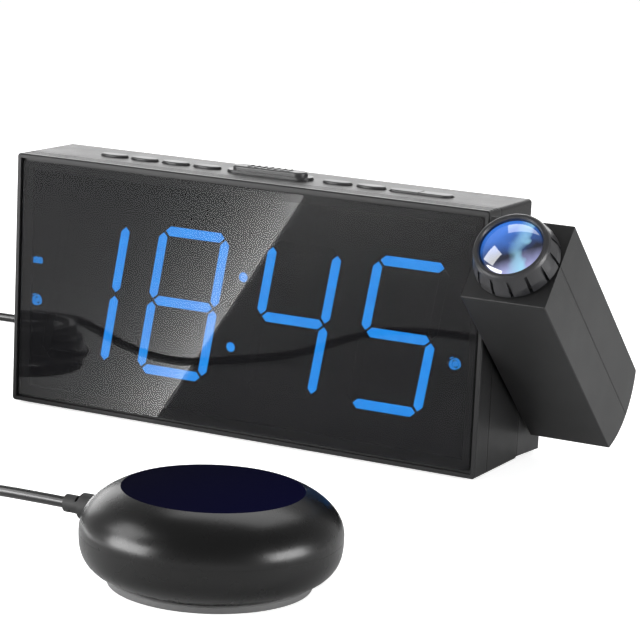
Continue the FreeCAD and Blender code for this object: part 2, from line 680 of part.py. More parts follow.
def volume_rocker():
    cap = stadium("rocker_cap", "rocker_long", "rocker_wide", f"{TOP} - wall", f"{TOP} + rocker_rise",
                  ROCKER_X, "key_row")
    soft = rounded("rocker_crown", cap, size("rocker_rise") * 0.6,
                   lambda e: e.BoundBox.ZMin > size("foot_height") + size("case_height"))
    fin = box("rocker_fin", f"{ROCKER_X} - 1.8", f"{ROCKER_X} + 1.8", "key_row - 2.6", "key_row + 2.6",
              f"{PIN_Z} - 2", f"{TOP} - wall")
    stems = [rod(f"rocker_stem{i}", "stem_size / 2", f"({TOP} - wall) - ({STEM_LOW})",
                 f"{ROCKER_X} {sign} {ROCKER_STEM}", "key_row", STEM_LOW) for i, sign in enumerate("-+")]
    whole = fuse("rocker_whole", soft, fin, *stems)
    bore = rod("rocker_bore", "pin_size / 2 + run_gap", "12", ROCKER_X, "key_row - 6", PIN_Z, "y")
    seam = box("rocker_seam", f"{ROCKER_X} - 0.25", f"{ROCKER_X} + 0.25", "key_row - 4", "key_row + 4",
               f"{TOP} + rocker_rise - 0.4", f"{TOP} + 2")
    node(cut("rocker", whole, bore, seam), "volume_rocker")
    node(rod("cross_pin", "pin_size / 2", "9.2", ROCKER_X, "key_row - 4.6", PIN_Z, "y"), "rocker_pin")


def key_electrics():
    floor = f"{TOP} - key_board_drop"
    node(box("key_card", "-74", "76", "key_row - 6", "key_row + 6", f"{floor} - board_thick", floor), "key_board")
    places = list(KEYS.values()) + [SNOOZE_X, ROCKER_X - ROCKER_STEM, ROCKER_X + ROCKER_STEM]
    switches = []
    for i, x in enumerate(places):
        block = box(f"switch{i}", f"{x} - switch_size / 2", f"{x} + switch_size / 2", "key_row - switch_size / 2",
                    "key_row + switch_size / 2", floor, f"{floor} + switch_height")
        plunger = rod(f"plunger{i}", "stem_size / 2", "plunger_height", x, "key_row", f"{floor} + switch_height")
        switches.append(fuse(f"key_switch{i}", block, plunger))
    node(group("switches", switches), "key_switches")


# Projector arm, built upright: its length along z, the hinge along x
ARM_LEFT = "case_width / 2 + arm_gap"
ARM_RIGHT = "case_width / 2 + arm_gap + arm_width"


def arm_shell(label, sign):
    """Half of the arm on one side of the parting plane, with the round foot end."""
    body = new_body(label + "_body")
    flat = sketch(body, label + "_side", "YZ_Plane", ARM_LEFT)
    half = f"({sign} * arm_thick / 2)"
    lines = [V(0, -28, 0), V(0, 61, 0), V(sign * 15, 61, 0), V(sign * 15, -23, 0)]
    for a, b in zip(lines[:-1], lines[1:]):
        flat.addGeometry(Part.LineSegment(a, b))
    reach = math.hypot(size("arm_thick") / 2, size("arm_corner"))
    mid = V(sign * reach * 0.28, -reach * 0.96, 0)
    arc = flat.addGeometry(Part.Arc(lines[3], mid, lines[0]))
    for i in range(2):
        flat.addConstraint(Sketcher.Constraint("Coincident", i, 2, i + 1, 1))
    pin_point(flat, 0, 2, "0", "arm_reach")
    pin_point(flat, 1, 2, half, "arm_reach")
    pin_point(flat, 2, 2, half, "-arm_corner")
    near = flat.getPoint(arc, 1)
    start = 1 if near.sub(lines[3]).Length < 1 else 2
    flat.addConstraint(Sketcher.Constraint("Coincident", 2, 2, arc, start))
    flat.addConstraint(Sketcher.Constraint("Coincident", 0, 1, arc, 3 - start))
    flat.addConstraint(Sketcher.Constraint("Coincident", arc, 3, -1, 1))
    flat.addConstraint(Sketcher.Constraint("Vertical", 0))
    pad = feature(body, "Pad", label + "_block", flat, "arm_width")
    dress(body, "Fillet", label + "_edges", pad, "arm_edge",
          lambda e: min(abs(v.Point.y) for v in e.Vertexes) > size("arm_thick") / 2 - 1e-3)
    room = rectangle(sketch(body, label + "_room", "XZ_Plane"), f"{ARM_LEFT} + wall", f"{ARM_RIGHT} - wall",
                     "-arm_corner + wall", "arm_reach - wall")
    feature(body, "Pocket", label + "_space", room, "arm_thick / 2 - wall", back=sign < 0)
    return body


ARM_SCREWS = [(97.5, 45.0), (113.9, 45.0), (113.9, -13.0)]


def arm_shells():
    mid = f"{ARM_LEFT} + arm_width / 2"
    for label, sign in (("arm_front_shell", -1), ("arm_rear_shell", 1)):
        body = arm_shell(label, sign)
        neck = rod(label + "_neck_hole", "ring_neck / 2 + run_gap", "wall + 2", mid, 0, "arm_reach - wall - 1")
        hub = rod(label + "_hub_hole", "hub_size / 2", "wall + 2", f"{ARM_LEFT} - 1", 0, 0, "x")
        screw_parts, screw_cuts = [], []
        for i, (x, z) in enumerate(ARM_SCREWS):
            if sign > 0:
                screw_parts.append(rod(f"{label}_post{i}", "3", "arm_thick / 2 - 1", x, "0", z, "y"))
                screw_cuts.append(rod(f"{label}_screw{i}", "1.3", "arm_thick", x, "-1", z, "y"))
                screw_cuts.append(rod(f"{label}_sink{i}", "2.6", "arm_thick", x, "arm_thick / 2 - 4", z, "y"))
            else:
                screw_parts.append(rod(f"{label}_post{i}", "3", "arm_thick / 2 - 1", x, "-arm_thick / 2 + 1", z, "y"))
                screw_cuts.append(rod(f"{label}_screw{i}", "1.3", "9", x, "-8", z, "y"))
        whole = fuse(label + "_whole", body, *screw_parts)
        node(cut(label + "_cut", whole, neck, hub, *screw_cuts), label, "arm")
    screws = []
    for i, (x, z) in enumerate(ARM_SCREWS):
        shank = rod(f"arm_shank{i}", "1.3", "arm_thick / 2 - 4 + 6", x, "-6", z, "y")
        head = rod(f"arm_head{i}", "2.5", "1.4", x, "arm_thick / 2 - 4", z, "y")
        screws.append(fuse(f"arm_screw{i}", shank, head))
    node(group("arm_screw_set", screws), "arm_screws", "arm")


def pivot():
    """Hollow hub through the case wall, kept by a collar inside, and the washer between case and arm."""
    start = f"{RIGHT} - wall - 2.4"
    tube = rod("hub_tube", "hub_size / 2", f"({ARM_LEFT} + wall + 2) - ({start})", start, 0, 0, "x")
    collar = rod("hub_collar", "hub_flange / 2", "2", start, 0, 0, "x")
    flange = rod("hub_flange_disc", "hub_flange / 2", "2", f"{ARM_LEFT} + wall", 0, 0, "x")
    bore = rod("hub_channel", "hub_bore / 2", "30", f"{start} - 1", 0, 0, "x")
    node(cut("hub", fuse("hub_solid", tube, collar, flange), bore), "pivot_hub", "arm")
    ring = cut("friction_ring", rod("washer_disc", "hub_size / 2 + 4", "arm_gap", RIGHT, 0, 0, "x"),
               rod("washer_hole", "hub_size / 2 + run_gap", "arm_gap + 2", f"{RIGHT} - 1", 0, 0, "x"))
    node(ring, "pivot_washer", "arm")


def focus_ring():
    """Grip ring that flares towards its base, with notches, a running neck and a snap lip."""
    body = new_body("ring_body")
    revolved(body, "ring_turned", [
        ("ring_bore / 2", "-wall - 2.2"), ("ring_neck / 2 + 0.5", "-wall - 2.2"), ("ring_neck / 2 + 0.5", "-wall - 0.2"),
        ("ring_neck / 2", "-wall - 0.2"), ("ring_neck / 2", "0.15"), ("ring_base / 2 - 0.6", "0.15"),
        ("ring_base / 2", "0.8"), ("ring_base / 2 - 0.3", "ring_height * 0.4"), ("ring_top / 2 + 0.5", "ring_height - 1.4"),
        ("ring_top / 2 + 0.1", "ring_height - 0.5"), ("ring_top / 2 - 0.4", "ring_height"),
        ("ring_bore / 2 + 0.4", "ring_height"), ("ring_bore / 2", "ring_height - 0.5")])
    notch = rectangle(sketch(body, "notch_face", "XY_Plane", "ring_height - 1.6"), "ring_base / 2 - grip_depth - 0.6",
                      "ring_base / 2 + 2", "-grip_width / 2", "grip_width / 2")
    bite = feature(body, "Pocket", "notch", notch, "ring_height - 2.4")
    doc.recompute()
    turn = body.newObject("PartDesign::PolarPattern", "notches")
    turn.Originals = [bite]
    turn.Axis = (notch, ["N_Axis"])
    turn.Angle = 360
    bind(turn, Occurrences="grip_count")
    body.Tip = turn
    ring = doc.addObject("Part::Compound", "ring_seat")
    ring.Links = [body]
    bind(body, Placement__Base__x=f"{ARM_LEFT} + arm_width / 2", Placement__Base__z="arm_reach")
    return node(ring, "focus_ring", "arm")


def lens_stack():
    """Barrel and domed front lens, then the picture panel, condenser and lamp behind them."""
    mid = f"{ARM_LEFT} + arm_width / 2"
    seat = "arm_reach + ring_height - lens_drop - lens_edge"
    tube = rod("barrel_tube", "lens_size / 2", "barrel_length", mid, 0, f"{seat} - barrel_length")
    hole = rod("barrel_hole", "lens_size / 2 - 1.6", "barrel_length + 2", mid, 0, f"{seat} - barrel_length - 1")
    node(cut("barrel", tube, hole), "lens_barrel", "arm")
    body = new_body("lens_body")
    rim = sketch(body, "lens_side", "XZ_Plane")
    half, edge, dome = size("lens_size") / 2, size("lens_edge"), size("lens_dome")
    points = [V(0, 0, 0), V(half, 0, 0), V(half, edge, 0), V(0, edge + dome, 0)]
    rim.addGeometry(Part.LineSegment(points[3], points[0]))
    rim.addGeometry(Part.LineSegment(points[0], points[1]))
    rim.addGeometry(Part.LineSegment(points[1], points[2]))
    bend = dome * 0.76
    arc = rim.addGeometry(Part.Arc(points[2], V(half * 0.48, edge + bend, 0), points[3]))
    for i in range(2):
        rim.addConstraint(Sketcher.Constraint("Coincident", i, 2, i + 1, 1))
    first = 1 if rim.getPoint(arc, 1).sub(points[2]).Length < 0.01 else 2
    rim.addConstraint(Sketcher.Constraint("Coincident", 2, 2, arc, first))
    rim.addConstraint(Sketcher.Constraint("Coincident", 0, 1, arc, 3 - first))
    rim.addConstraint(Sketcher.Constraint("PointOnObject", arc, 3, -2))
    pin_point(rim, 0, 2, "0", "0")
    pin_point(rim, 1, 2, "lens_size / 2", "0")
    pin_point(rim, 2, 2, "lens_size / 2", "lens_edge")
    pin_point(rim, 0, 1, "0", "lens_edge + lens_dome")
    dome_turn = body.newObject("PartDesign::Revolution", "lens_turned")
    dome_turn.Profile = rim
    dome_turn.ReferenceAxis = (rim, ["V_Axis"])
    dome_turn.Angle = 360
    bind(body, Placement__Base__x=mid, Placement__Base__z=seat)
    node(group("lens_seat", [body]), "projection_lens", "arm")
    low, top = "optics_base", "optics_base + optics_length"
    outer = box("optics_tube", f"{mid} - 12", f"{mid} + 12", -13, 13, low, top)
    inner = box("optics_room", f"{mid} - 10", f"{mid} + 10", -10, 10, f"{low} - 1", f"{top} + 1")
    node(cut("optics", outer, inner), "optics_chassis", "arm")
    node(box("lamp_card", f"{mid} - 12", f"{mid} + 12", -13, 13, f"{low} - board_thick", low),
         "projector_led_board", "arm")
    node(box("lamp", f"{mid} - 2.5", f"{mid} + 2.5", -2.5, 2.5, low, f"{low} + 1.5"), "projector_led", "arm")
    disc = rod("condenser_disc", "9.95", "3", mid, 0, f"{low} + 8")
    dome = doc.addObject("Part::Sphere", "condenser_dome")
    bind(dome, Radius="12", Placement__Base__x=mid, Placement__Base__z=f"{low} + 4")
    keep = rod("condenser_keep", "9.95", "8", mid, 0, f"{low} + 8")
    crown = doc.addObject("Part::Common", "condenser_crown")
    crown.Base = dome
    crown.Tool = keep
    node(fuse("condenser", disc, crown), "condenser_lens", "arm")
    node(box("picture_panel", f"{mid} - 10", f"{mid} + 10", -10, 10, f"{top} - 4", f"{top} - 1.8"),
         "projector_lcd", "arm")


# Bed shaker, built round its own upright axis
def puck_profile(inset, z_from, z_to, steps=6):
    """Side of the puck between two heights, as radius and height pairs for an inner or outer skin."""
    radius, tall = size("shaker_radius"), size("shaker_height")
    base = size("base_pad_thick")
    half = (tall - base) / 2
    middle = base + half
    core = radius - size("shaker_radius") * 0.66
    points = []
    for i in range(steps + 1):
        z = z_from + (z_to - z_from) * i / steps
        ratio = min(abs(z - middle) / half, 1.0)
        points.append((core + (radius - core) * math.sqrt(max(1 - ratio ** 2, 0.0)) - inset, z))
    return points


def skin(points):
    """Edges of an outline whose listed middle run is one smooth curve."""
    curve = Part.BSplineCurve()
    curve.interpolate([V(r, 0, z) for r, z in points])
    return curve.toShape()


def shell_solid(outer, inner):
    """A turned shell between an outer and an inner smooth skin that run the same way."""
    a, b = skin(outer), skin(inner)
    ends = [Part.makeLine(V(outer[0][0], 0, outer[0][1]), V(inner[0][0], 0, inner[0][1])),
            Part.makeLine(V(outer[-1][0], 0, outer[-1][1]), V(inner[-1][0], 0, inner[-1][1]))]
    wire = Part.Wire(Part.__sortEdges__([a, ends[1], b, ends[0]]))
    return Part.Face(wire).revolve(V(), V(0, 0, 1), 360)


def radius_at(z):
    return puck_profile(0, z, z, 1)[0][0]


def height_at(radius):
    """Height on the upper side of the puck where its skin has a radius."""
    low, high = size("shaker_split"), size("shaker_height")
    for _ in range(40):
        mid = (low + high) / 2
        low, high = (mid, high) if radius_at(mid) > radius else (low, mid)
    return low


def shaker():
    wall, split = size("wall"), size("shaker_split")
    base, pad = size("base_pad_thick"), size("shaker_pad")
    rim = height_at(pad)
    thick = size("pad_thick")
    top = shell_solid(puck_profile(0, split, rim), puck_profile(wall, split, rim - wall))
    roof = Part.makeCone(radius_at(rim - wall) - wall, pad, wall, V(0, 0, rim - wall))
    top = top.fuse(roof).cut(Part.makeCylinder(size("boot_size") / 2 - 1, 60, V(0, 0, split + 0.5), V(-1, 0, 0)))
    node(built("shaker_top", top.removeSplitter()), "shaker_top_shell", "shaker")
    low_r = size("base_pad")
    foot = base
    while radius_at(foot) < low_r:
        foot += 0.05
    bottom = shell_solid(puck_profile(0, foot, split), puck_profile(wall, foot + wall, split))
    floor = Part.makeCone(radius_at(foot), radius_at(foot + wall) - wall, wall, V(0, 0, foot))
    floor = floor.fuse(Part.makeCylinder(low_r, foot - base, V(0, 0, base)))
    trim = Part.makeCylinder(size("boot_size") / 2 - 1, 60, V(0, 0, split + 0.5), V(-1, 0, 0))
    bottom = bottom.fuse(floor).cut(trim)
    bottom = bottom.cut(Part.makeCylinder(low_r - 4, foot - base, V(0, 0, base)))
    node(built("shaker_bottom", bottom.removeSplitter()), "shaker_bottom_shell", "shaker")
    bulge = pad * pad / (2 * thick) + thick / 2
    crown = Part.makeSphere(bulge, V(0, 0, rim + thick - bulge)).common(Part.makeCylinder(pad, 10, V(0, 0, rim)))
    node(built("shaker_cloth", crown), "shaker_top_pad", "shaker")
    node(rod("grip_disc", "base_pad", "base_pad_thick", 0, 0, 0), "shaker_base_pad", "shaker")
    can = rod("motor_can", "motor_size / 2", "motor_length", "-motor_length / 2 - 4", 0, "motor_height", "x")
    shaft = rod("motor_shaft", "shaft_size / 2", "14", "motor_length / 2 - 4", 0, "motor_height", "x")
    node(fuse("motor", can, shaft), "vibration_motor", "shaker")
    disc = rod("weight_disc", "weight_radius", "weight_thick", "motor_length / 2 - 2", 0, "motor_height", "x")
    half = box("weight_half", "motor_length / 2 - 3", "motor_length / 2 - 1 + weight_thick", "-weight_radius",
               "weight_radius", "motor_height + shaft_size", "motor_height + weight_radius + 1")
    hole = rod("weight_hole", "shaft_size / 2 + run_gap", "weight_thick + 4", "motor_length / 2 - 4", 0,
               "motor_height", "x")
    node(cut("weight", disc, half, hole), "eccentric_weight", "shaker")
    block = box("bracket_block", "-motor_length / 2 - 2", "motor_length / 2 - 6", "-motor_size / 2 - 2",
                "motor_size / 2 + 2", foot + wall, "motor_height")
    seat = rod("bracket_seat", "motor_size / 2", "motor_length + 4", "-motor_length / 2 - 6", 0, "motor_height", "x")
    node(cut("bracket", block, seat), "motor_bracket", "shaker")
    boot_x = f"-{radius_at(split + 0.5) - 1.5}"
    boot = rod("boot_root", "boot_size / 2", "boot_length", f"({boot_x}) - boot_length", 0, split + 0.5, "x")
    collar = rod("boot_collar", "collar_size / 2", "collar_length", f"({boot_x}) - boot_length - collar_length", 0,
                 split + 0.5, "x")
    slots = [box(f"boot_slot{i}", f"({boot_x}) - boot_length - {1.6 + 2.2 * i}",
                 f"({boot_x}) - boot_length - {0.9 + 2.2 * i}", -4, 4, split + side, split + side + 3)
             for i, side in enumerate((1.9, -3.9))]
    solid = cut("boot_cut", fuse("boot_solid", boot, collar), *slots)
    ball = built("shaker_room", puck_solid())
    node(cut("boot", solid, ball), "shaker_boot", "shaker")


def puck_solid():
    """The whole outer form of the shaker, used to trim what meets its skin."""
    points = puck_profile(0, size("base_pad_thick") + 1, size("shaker_height") - 1, 12)
    edges = [skin(points), Part.makeLine(V(points[0][0], 0, points[0][1]), V(0, 0, points[0][1])),
             Part.makeLine(V(0, 0, points[0][1]), V(0, 0, points[-1][1])),
             Part.makeLine(V(0, 0, points[-1][1]), V(points[-1][0], 0, points[-1][1]))]
    return Part.Face(Part.Wire(Part.__sortEdges__(edges))).revolve(V(), V(0, 0, 1), 360)


# Cord: plug, run from the clock, coil and run to the shaker
def rounded_path(points):
    """Straight runs joined by tangent arcs as large as the runs allow; returns the wire, length and radii."""
    edges, radii = [], []
    last = points[0]
    for i in range(1, len(points) - 1):
        before, here, after = points[i - 1], points[i], points[i + 1]
        a, b = (here - before), (after - here)
        turn = a.getAngle(b)
        trim = 0.45 * min(a.Length, b.Length)
        radii.append(trim / math.tan(turn / 2))
        start = here - a.normalize() * trim
        end = here + b.normalize() * trim
        weight = math.cos(turn / 2)
        middle = (start + here * (2 * weight) + end) * (1 / (2 + 2 * weight))
        edges.append(Part.LineSegment(last, start).toShape())
        edges.append(Part.Arc(start, middle, end).toShape())
        last = end
    edges.append(Part.LineSegment(last, points[-1]).toShape())
    return Part.Wire(edges), sum(e.Length for e in edges), radii


def cord_tube(name, points):
    """Round tube along a path of chosen points, with its radii and volume printed."""
    wire, length, radii = rounded_path([V(*p) for p in points])
    radius = size("cord_size") / 2
    direction = wire.Edges[0].tangentAt(wire.Edges[0].FirstParameter)
    ring = Part.Wire(Part.makeCircle(radius, V(*points[0]), direction))
    tube = wire.makePipeShell([ring], True, False)
    ideal = math.pi * radius ** 2 * length
    print(name, "length", round(length, 1), "least radius", round(min(radii), 1),
          "volume ratio", round(tube.Volume / ideal, 4), [round(r) for r in radii])
    return tube


def biarc(p0, t0, p1, t1):
    """Two tangent arcs between two points with given directions."""
    gap = p1 - p0
    both = t0 + t1
    flatness = 2 * (1 - t0.dot(t1))
    d = (-gap.dot(both) + math.sqrt(gap.dot(both) ** 2 + flatness * gap.dot(gap))) / flatness
    q0, q1 = p0 + t0 * d, p1 - t1 * d
    joint = (q0 + q1) * 0.5
    arcs = []
    for a, q, b in ((p0, q0, joint), (joint, q1, p1)):
        weight = (b - a).Length / (2 * d)
        arcs.append(Part.Arc(a, (a + b + q * (2 * weight)) * (1 / (2 + 2 * weight)), b).toShape())
    return arcs


def coil_wire():
    """Spiral in and out in four layers, climbing in the half turn where it reverses."""
    pitch, count = size("coil_pitch"), int(size("coil_half_turns"))
    centre = V(size("coil_x"), size("coil_y"), 0)
    radius, height, angle = size("coil_radius"), size("cord_size") / 2, math.pi
    edges = []

    def spot(r, a, z):
        return centre + V(r * math.cos(a), r * math.sin(a), z)

    for layer in range(4):
        step = -pitch / 2 if layer % 2 == 0 else pitch / 2
        turns = count if layer < 3 else count - 1
        for _ in range(turns):
            new = radius + step
            near, far = spot(radius, angle, height), spot(new, angle + math.pi, height)
            middle = (near + far) * 0.5
            side = V(-math.sin(angle), math.cos(angle), 0) * ((radius + new) / 2)
            edges.append(Part.Arc(near, middle + side, far).toShape())
            radius, angle = new, angle + math.pi
        if layer == 3:
            break
        high = height + pitch
        top = V(-math.cos(angle), -math.sin(angle), pitch / (math.pi * radius) * 1.5).normalize()
        ways = [V(-math.sin(angle), math.cos(angle), 0), top, V(math.sin(angle), -math.cos(angle), 0)]
        marks = [spot(radius, angle, height), spot(radius, angle + math.pi / 2, (height + high) / 2),
                 spot(radius, angle + math.pi, high)]
        edges += biarc(marks[0], ways[0], marks[1], ways[1])
        edges += biarc(marks[1], ways[1], marks[2], ways[2])
        height, angle = high, angle + math.pi
    near, corner = spot(radius, angle, height), angle + math.pi / 2
    middle = spot(radius, angle + math.pi / 4, height)
    end = spot(radius, corner, height)
    edges.append(Part.Arc(near, middle, end).toShape())
    return Part.Wire(edges), end


def least_gap(wire):
    """Least clear gap of the coil to itself, from points along it."""
    marks, along = [], []
    travel = 0.0
    for edge in wire.Edges:
        count = max(int(edge.Length / 2), 2)
        for p in edge.discretize(count)[:-1]:
            marks.append(p)
            along.append(travel)
            travel += edge.Length / (count - 1)
    best = 1e9
    for i in range(0, len(marks), 2):
        for k in range(i + 1, len(marks)):
            if along[k] - along[i] > 5 * size("cord_size"):
                best = min(best, (marks[i] - marks[k]).Length)
    return best - size("cord_size")


def cords():
    back = size("case_depth") + size("bump_depth") - size("foot_inset")
    x, z = size("jack_x"), size("jack_height")
    start = back + size("plug_length") + size("plug_boot")
    floor = size("cord_size") / 2
    body = rod("plug_body", "plug_size / 2", "plug_length", "jack_x", BUMP_BACK, "jack_height", "y")
    tip = rod("plug_tip", "1.75", "8", "jack_x", f"{BUMP_BACK} - 8", "jack_height", "y")
    relief = doc.addObject("Part::Cone", "plug_relief")
    relief.Placement = FreeCAD.Placement(V(), TURNS["y"])
    bind(relief, Radius1="plug_size / 2 - 0.8", Radius2="cord_size / 2 + 0.6", Height="plug_boot",
         Placement__Base__x="jack_x", Placement__Base__y=f"{BUMP_BACK} + plug_length", Placement__Base__z="jack_height")
    node(fuse("plug", body, tip, relief), "shaker_plug")
    coil, coil_end = coil_wire()
    cx, cy, cr = size("coil_x"), size("coil_y"), size("coil_radius")
    first = [
        (x, start, z), (x, start + 17, z), (x - 12, start + 31, 13), (x - 31, start + 38, 6),
        (x - 56, start + 39, floor + 0.4), (x - 88, start + 37, floor), (x - 118, start + 38, floor),
        (x - 139, start + 28, floor), (x - 149, start + 8, floor), (x - 148, start - 20, floor),
        (x - 138, start - 50, floor), (x - 120, start - 74, floor), (cx - cr - 10, cy + 48, floor),
        (cx - cr, cy + 20, floor), (cx - cr, cy, floor)]
    node(built("cord_a", cord_tube("cord_clock_run", first)), "cord_clock_run", "row")
    ring = Part.Wire(Part.makeCircle(floor, V(cx - cr, cy, floor), V(0, -1, 0)))
    loops = coil.makePipeShell([ring], True, False)
    ideal = math.pi * floor ** 2 * coil.Length
    print("cord_coil length", round(coil.Length, 1), "volume ratio", round(loops.Volume / ideal, 4),
          "least gap", round(least_gap(coil), 2))
    node(built("cord_b", loops), "cord_coil", "row")
    reach = radius_at(size("shaker_split") + 0.5) - 1.5 + size("boot_length") + size("collar_length")
    ex = size("shaker_x") - reach
    ey, ez = size("shaker_y") - size("foot_inset"), size("shaker_split") + 0.5
    ax, ay, az = coil_end
    second = [
        (ax, ay, az), (ax + 13, ay, az), (ax + 28, ay - 2.7, az - 7.7), (ax + 46, ay - 12.2, floor),
        (ax + 60, ay - 32, floor), (ex - 71, ey + 17, floor), (ex - 46, ey + 3, ez - 2),
        (ex - 20, ey, ez), (ex, ey, ez)]
    node(built("cord_c", cord_tube("cord_shaker_run", second)), "cord_shaker_run", "row")


def check_and_write():
    """Stops on a failed object, then writes one file for each piece."""
    doc.recompute()
    for thing in doc.Objects:
        if "Invalid" in thing.State or "Error" in thing.State:
            raise RuntimeError(f"{thing.Name} failed: {thing.State}")
    os.makedirs("parts", exist_ok=True)
    for thing in NODES:
        shape = thing.Shape
        if shape.isNull() or not shape.isValid():
            raise RuntimeError(f"{thing.Label} has no valid shape")
        shape.exportStep(f"parts/{thing.Label}.step")
    print(len(NODES), "pieces")


front_bezel()
display_window()
display_stack()
main_casing()
rear_cover()
rear_pieces()
feet()
oval_keys()
snooze_bar()
volume_rocker()
key_electrics()
arm_shells()
pivot()
focus_ring()
lens_stack()
shaker()
cords()
check_and_write()
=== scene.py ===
import math

import bpy
from mathutils import Matrix, Vector


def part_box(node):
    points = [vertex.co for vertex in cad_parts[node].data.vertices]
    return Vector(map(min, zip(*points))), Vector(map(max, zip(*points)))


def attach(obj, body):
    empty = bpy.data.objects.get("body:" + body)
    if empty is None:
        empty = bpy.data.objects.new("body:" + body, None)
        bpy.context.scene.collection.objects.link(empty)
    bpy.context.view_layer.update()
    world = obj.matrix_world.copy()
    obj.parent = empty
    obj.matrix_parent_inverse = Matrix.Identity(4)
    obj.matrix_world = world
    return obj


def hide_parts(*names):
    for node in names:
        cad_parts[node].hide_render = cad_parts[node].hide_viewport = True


MM = 0.001

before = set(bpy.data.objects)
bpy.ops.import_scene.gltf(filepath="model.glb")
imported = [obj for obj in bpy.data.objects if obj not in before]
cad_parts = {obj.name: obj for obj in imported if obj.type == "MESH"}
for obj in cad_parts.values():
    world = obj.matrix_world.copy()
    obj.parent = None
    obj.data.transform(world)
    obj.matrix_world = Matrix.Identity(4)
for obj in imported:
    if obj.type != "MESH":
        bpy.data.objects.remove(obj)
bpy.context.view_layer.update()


# Shader helpers
class Field:
    """A number that varies over a surface, worked out with math nodes."""

    def __init__(self, tree, socket):
        self.tree = tree
        self.socket = socket

    def maths(self, operation, *others):
        node = self.tree.nodes.new("ShaderNodeMath")
        node.operation = operation
        self.tree.links.new(self.socket, node.inputs[0])
        for i, other in enumerate(others):
            if isinstance(other, Field):
                self.tree.links.new(other.socket, node.inputs[i + 1])
            else:
                node.inputs[i + 1].default_value = other
        return Field(self.tree, node.outputs[0])

    def __add__(self, other):
        return self.maths("ADD", other)

    def __sub__(self, other):
        return self.maths("SUBTRACT", other)

    def __mul__(self, other):
        return self.maths("MULTIPLY", other)

    def __truediv__(self, other):
        return self.maths("DIVIDE", other)

    def __radd__(self, other):
        return self + other

    def __rsub__(self, other):
        return self * -1.0 + other

    def __rmul__(self, other):
        return self * other

    def __rtruediv__(self, other):
        return self.power(-1.0) * other

    def power(self, other):
        return self.maths("POWER", other)

    def clamped(self):
        return self.maths("MAXIMUM", 0.0).maths("MINIMUM", 1.0)

    def ramp(self, start, end):
        """0 below start, 1 above end, straight between them."""
        return ((self - start) / (end - start)).clamped()


# Sockets of a mix node that blends colours
MIX_FIRST, MIX_SECOND, MIX_RESULT = 6, 7, 2


class Finish:
    """One procedural material on object coordinates."""

    def __init__(self, name, rough, specular, **constants):
        self.material = bpy.data.materials.new(name)
        self.material.use_nodes = True
        self.tree = self.material.node_tree
        self.tree.nodes.clear()
        self.shader = self.add("ShaderNodeBsdfPrincipled")
        self.output = self.add("ShaderNodeOutputMaterial")
        self.link(self.shader.outputs[0], self.output.inputs[0])
        self.shader.inputs["Roughness"].default_value = rough
        self.shader.inputs["Specular IOR Level"].default_value = specular
        for key, value in constants.items():
            self.shader.inputs[key.replace("_", " ")].default_value = value
        self.place = self.add("ShaderNodeTexCoord").outputs["Object"]

    def add(self, kind, **settings):
        node = self.tree.nodes.new(kind)
        for key, value in settings.items():
            setattr(node, key, value)
        return node

    def link(self, source, target):
        self.tree.links.new(source, target)

    def noise(self, scale, detail=2.0):
        node = self.add("ShaderNodeTexNoise")
        node.inputs["Scale"].default_value = scale
        node.inputs["Detail"].default_value = detail
        self.link(self.place, node.inputs["Vector"])
        return Field(self.tree, node.outputs[0])

    def axis(self, index):
        node = self.add("ShaderNodeSeparateXYZ")
        self.link(self.place, node.inputs[0])
        return Field(self.tree, node.outputs[index])

    def mixed(self, field, first, second):
        """Blends two colours by a field; a colour is three numbers or the socket of another blend."""
        node = self.add("ShaderNodeMix", data_type="RGBA")
        self.link(field.socket, node.inputs["Factor"])
        for key, value in ((MIX_FIRST, first), (MIX_SECOND, second)):
            if isinstance(value, tuple):
                node.inputs[key].default_value = (*value, 1.0)
            else:
                self.link(value, node.inputs[key])
        return node.outputs[MIX_RESULT]

    def colours(self, field, first, second, target="Base Color"):
        """Blends two colours by a field, into a socket of the shader."""
        self.link(self.mixed(field, first, second), self.shader.inputs[target])

    def roughness(self, field, low, high):
        self.link((field * (high - low) + low).socket, self.shader.inputs["Roughness"])

    def bump(self, field, depth):
        node = self.add("ShaderNodeBump")
        node.inputs["Strength"].default_value = 1.0
        node.inputs["Distance"].default_value = depth
        self.link(field.socket, node.inputs["Height"])
        self.link(node.outputs[0], self.shader.inputs["Normal"])


# Seams: each is a plane as y and z shares and its start, in metres
SEAM_HALF = 0.00028
SEAM_FADE = 1.5
SEAM_RELIEF = 20.0
SEAM_DARK = (0.0015, 0.0015, 0.0015)
COVER_START = 0.0245
ARM_SHARE_Y, ARM_SHARE_Z = 0.6685, 0.7437
ARM_HEIGHT = 0.0356
BEZEL_SEAM = (1.0, 0.0, 0.0001)
COVER_SEAM = (1.0, 0.0, COVER_START)
ARM_SEAM = (ARM_SHARE_Y, ARM_SHARE_Z, COVER_START * ARM_SHARE_Y + ARM_HEIGHT * ARM_SHARE_Z)

# Unevenness of moulded surfaces
CLOUD_SCALE, CLOUD_SHARE, GRAIN_SHARE = 38.0, 0.7, 0.3
SHEEN_SCALE, SHEEN_SPREAD = 90.0, 0.06


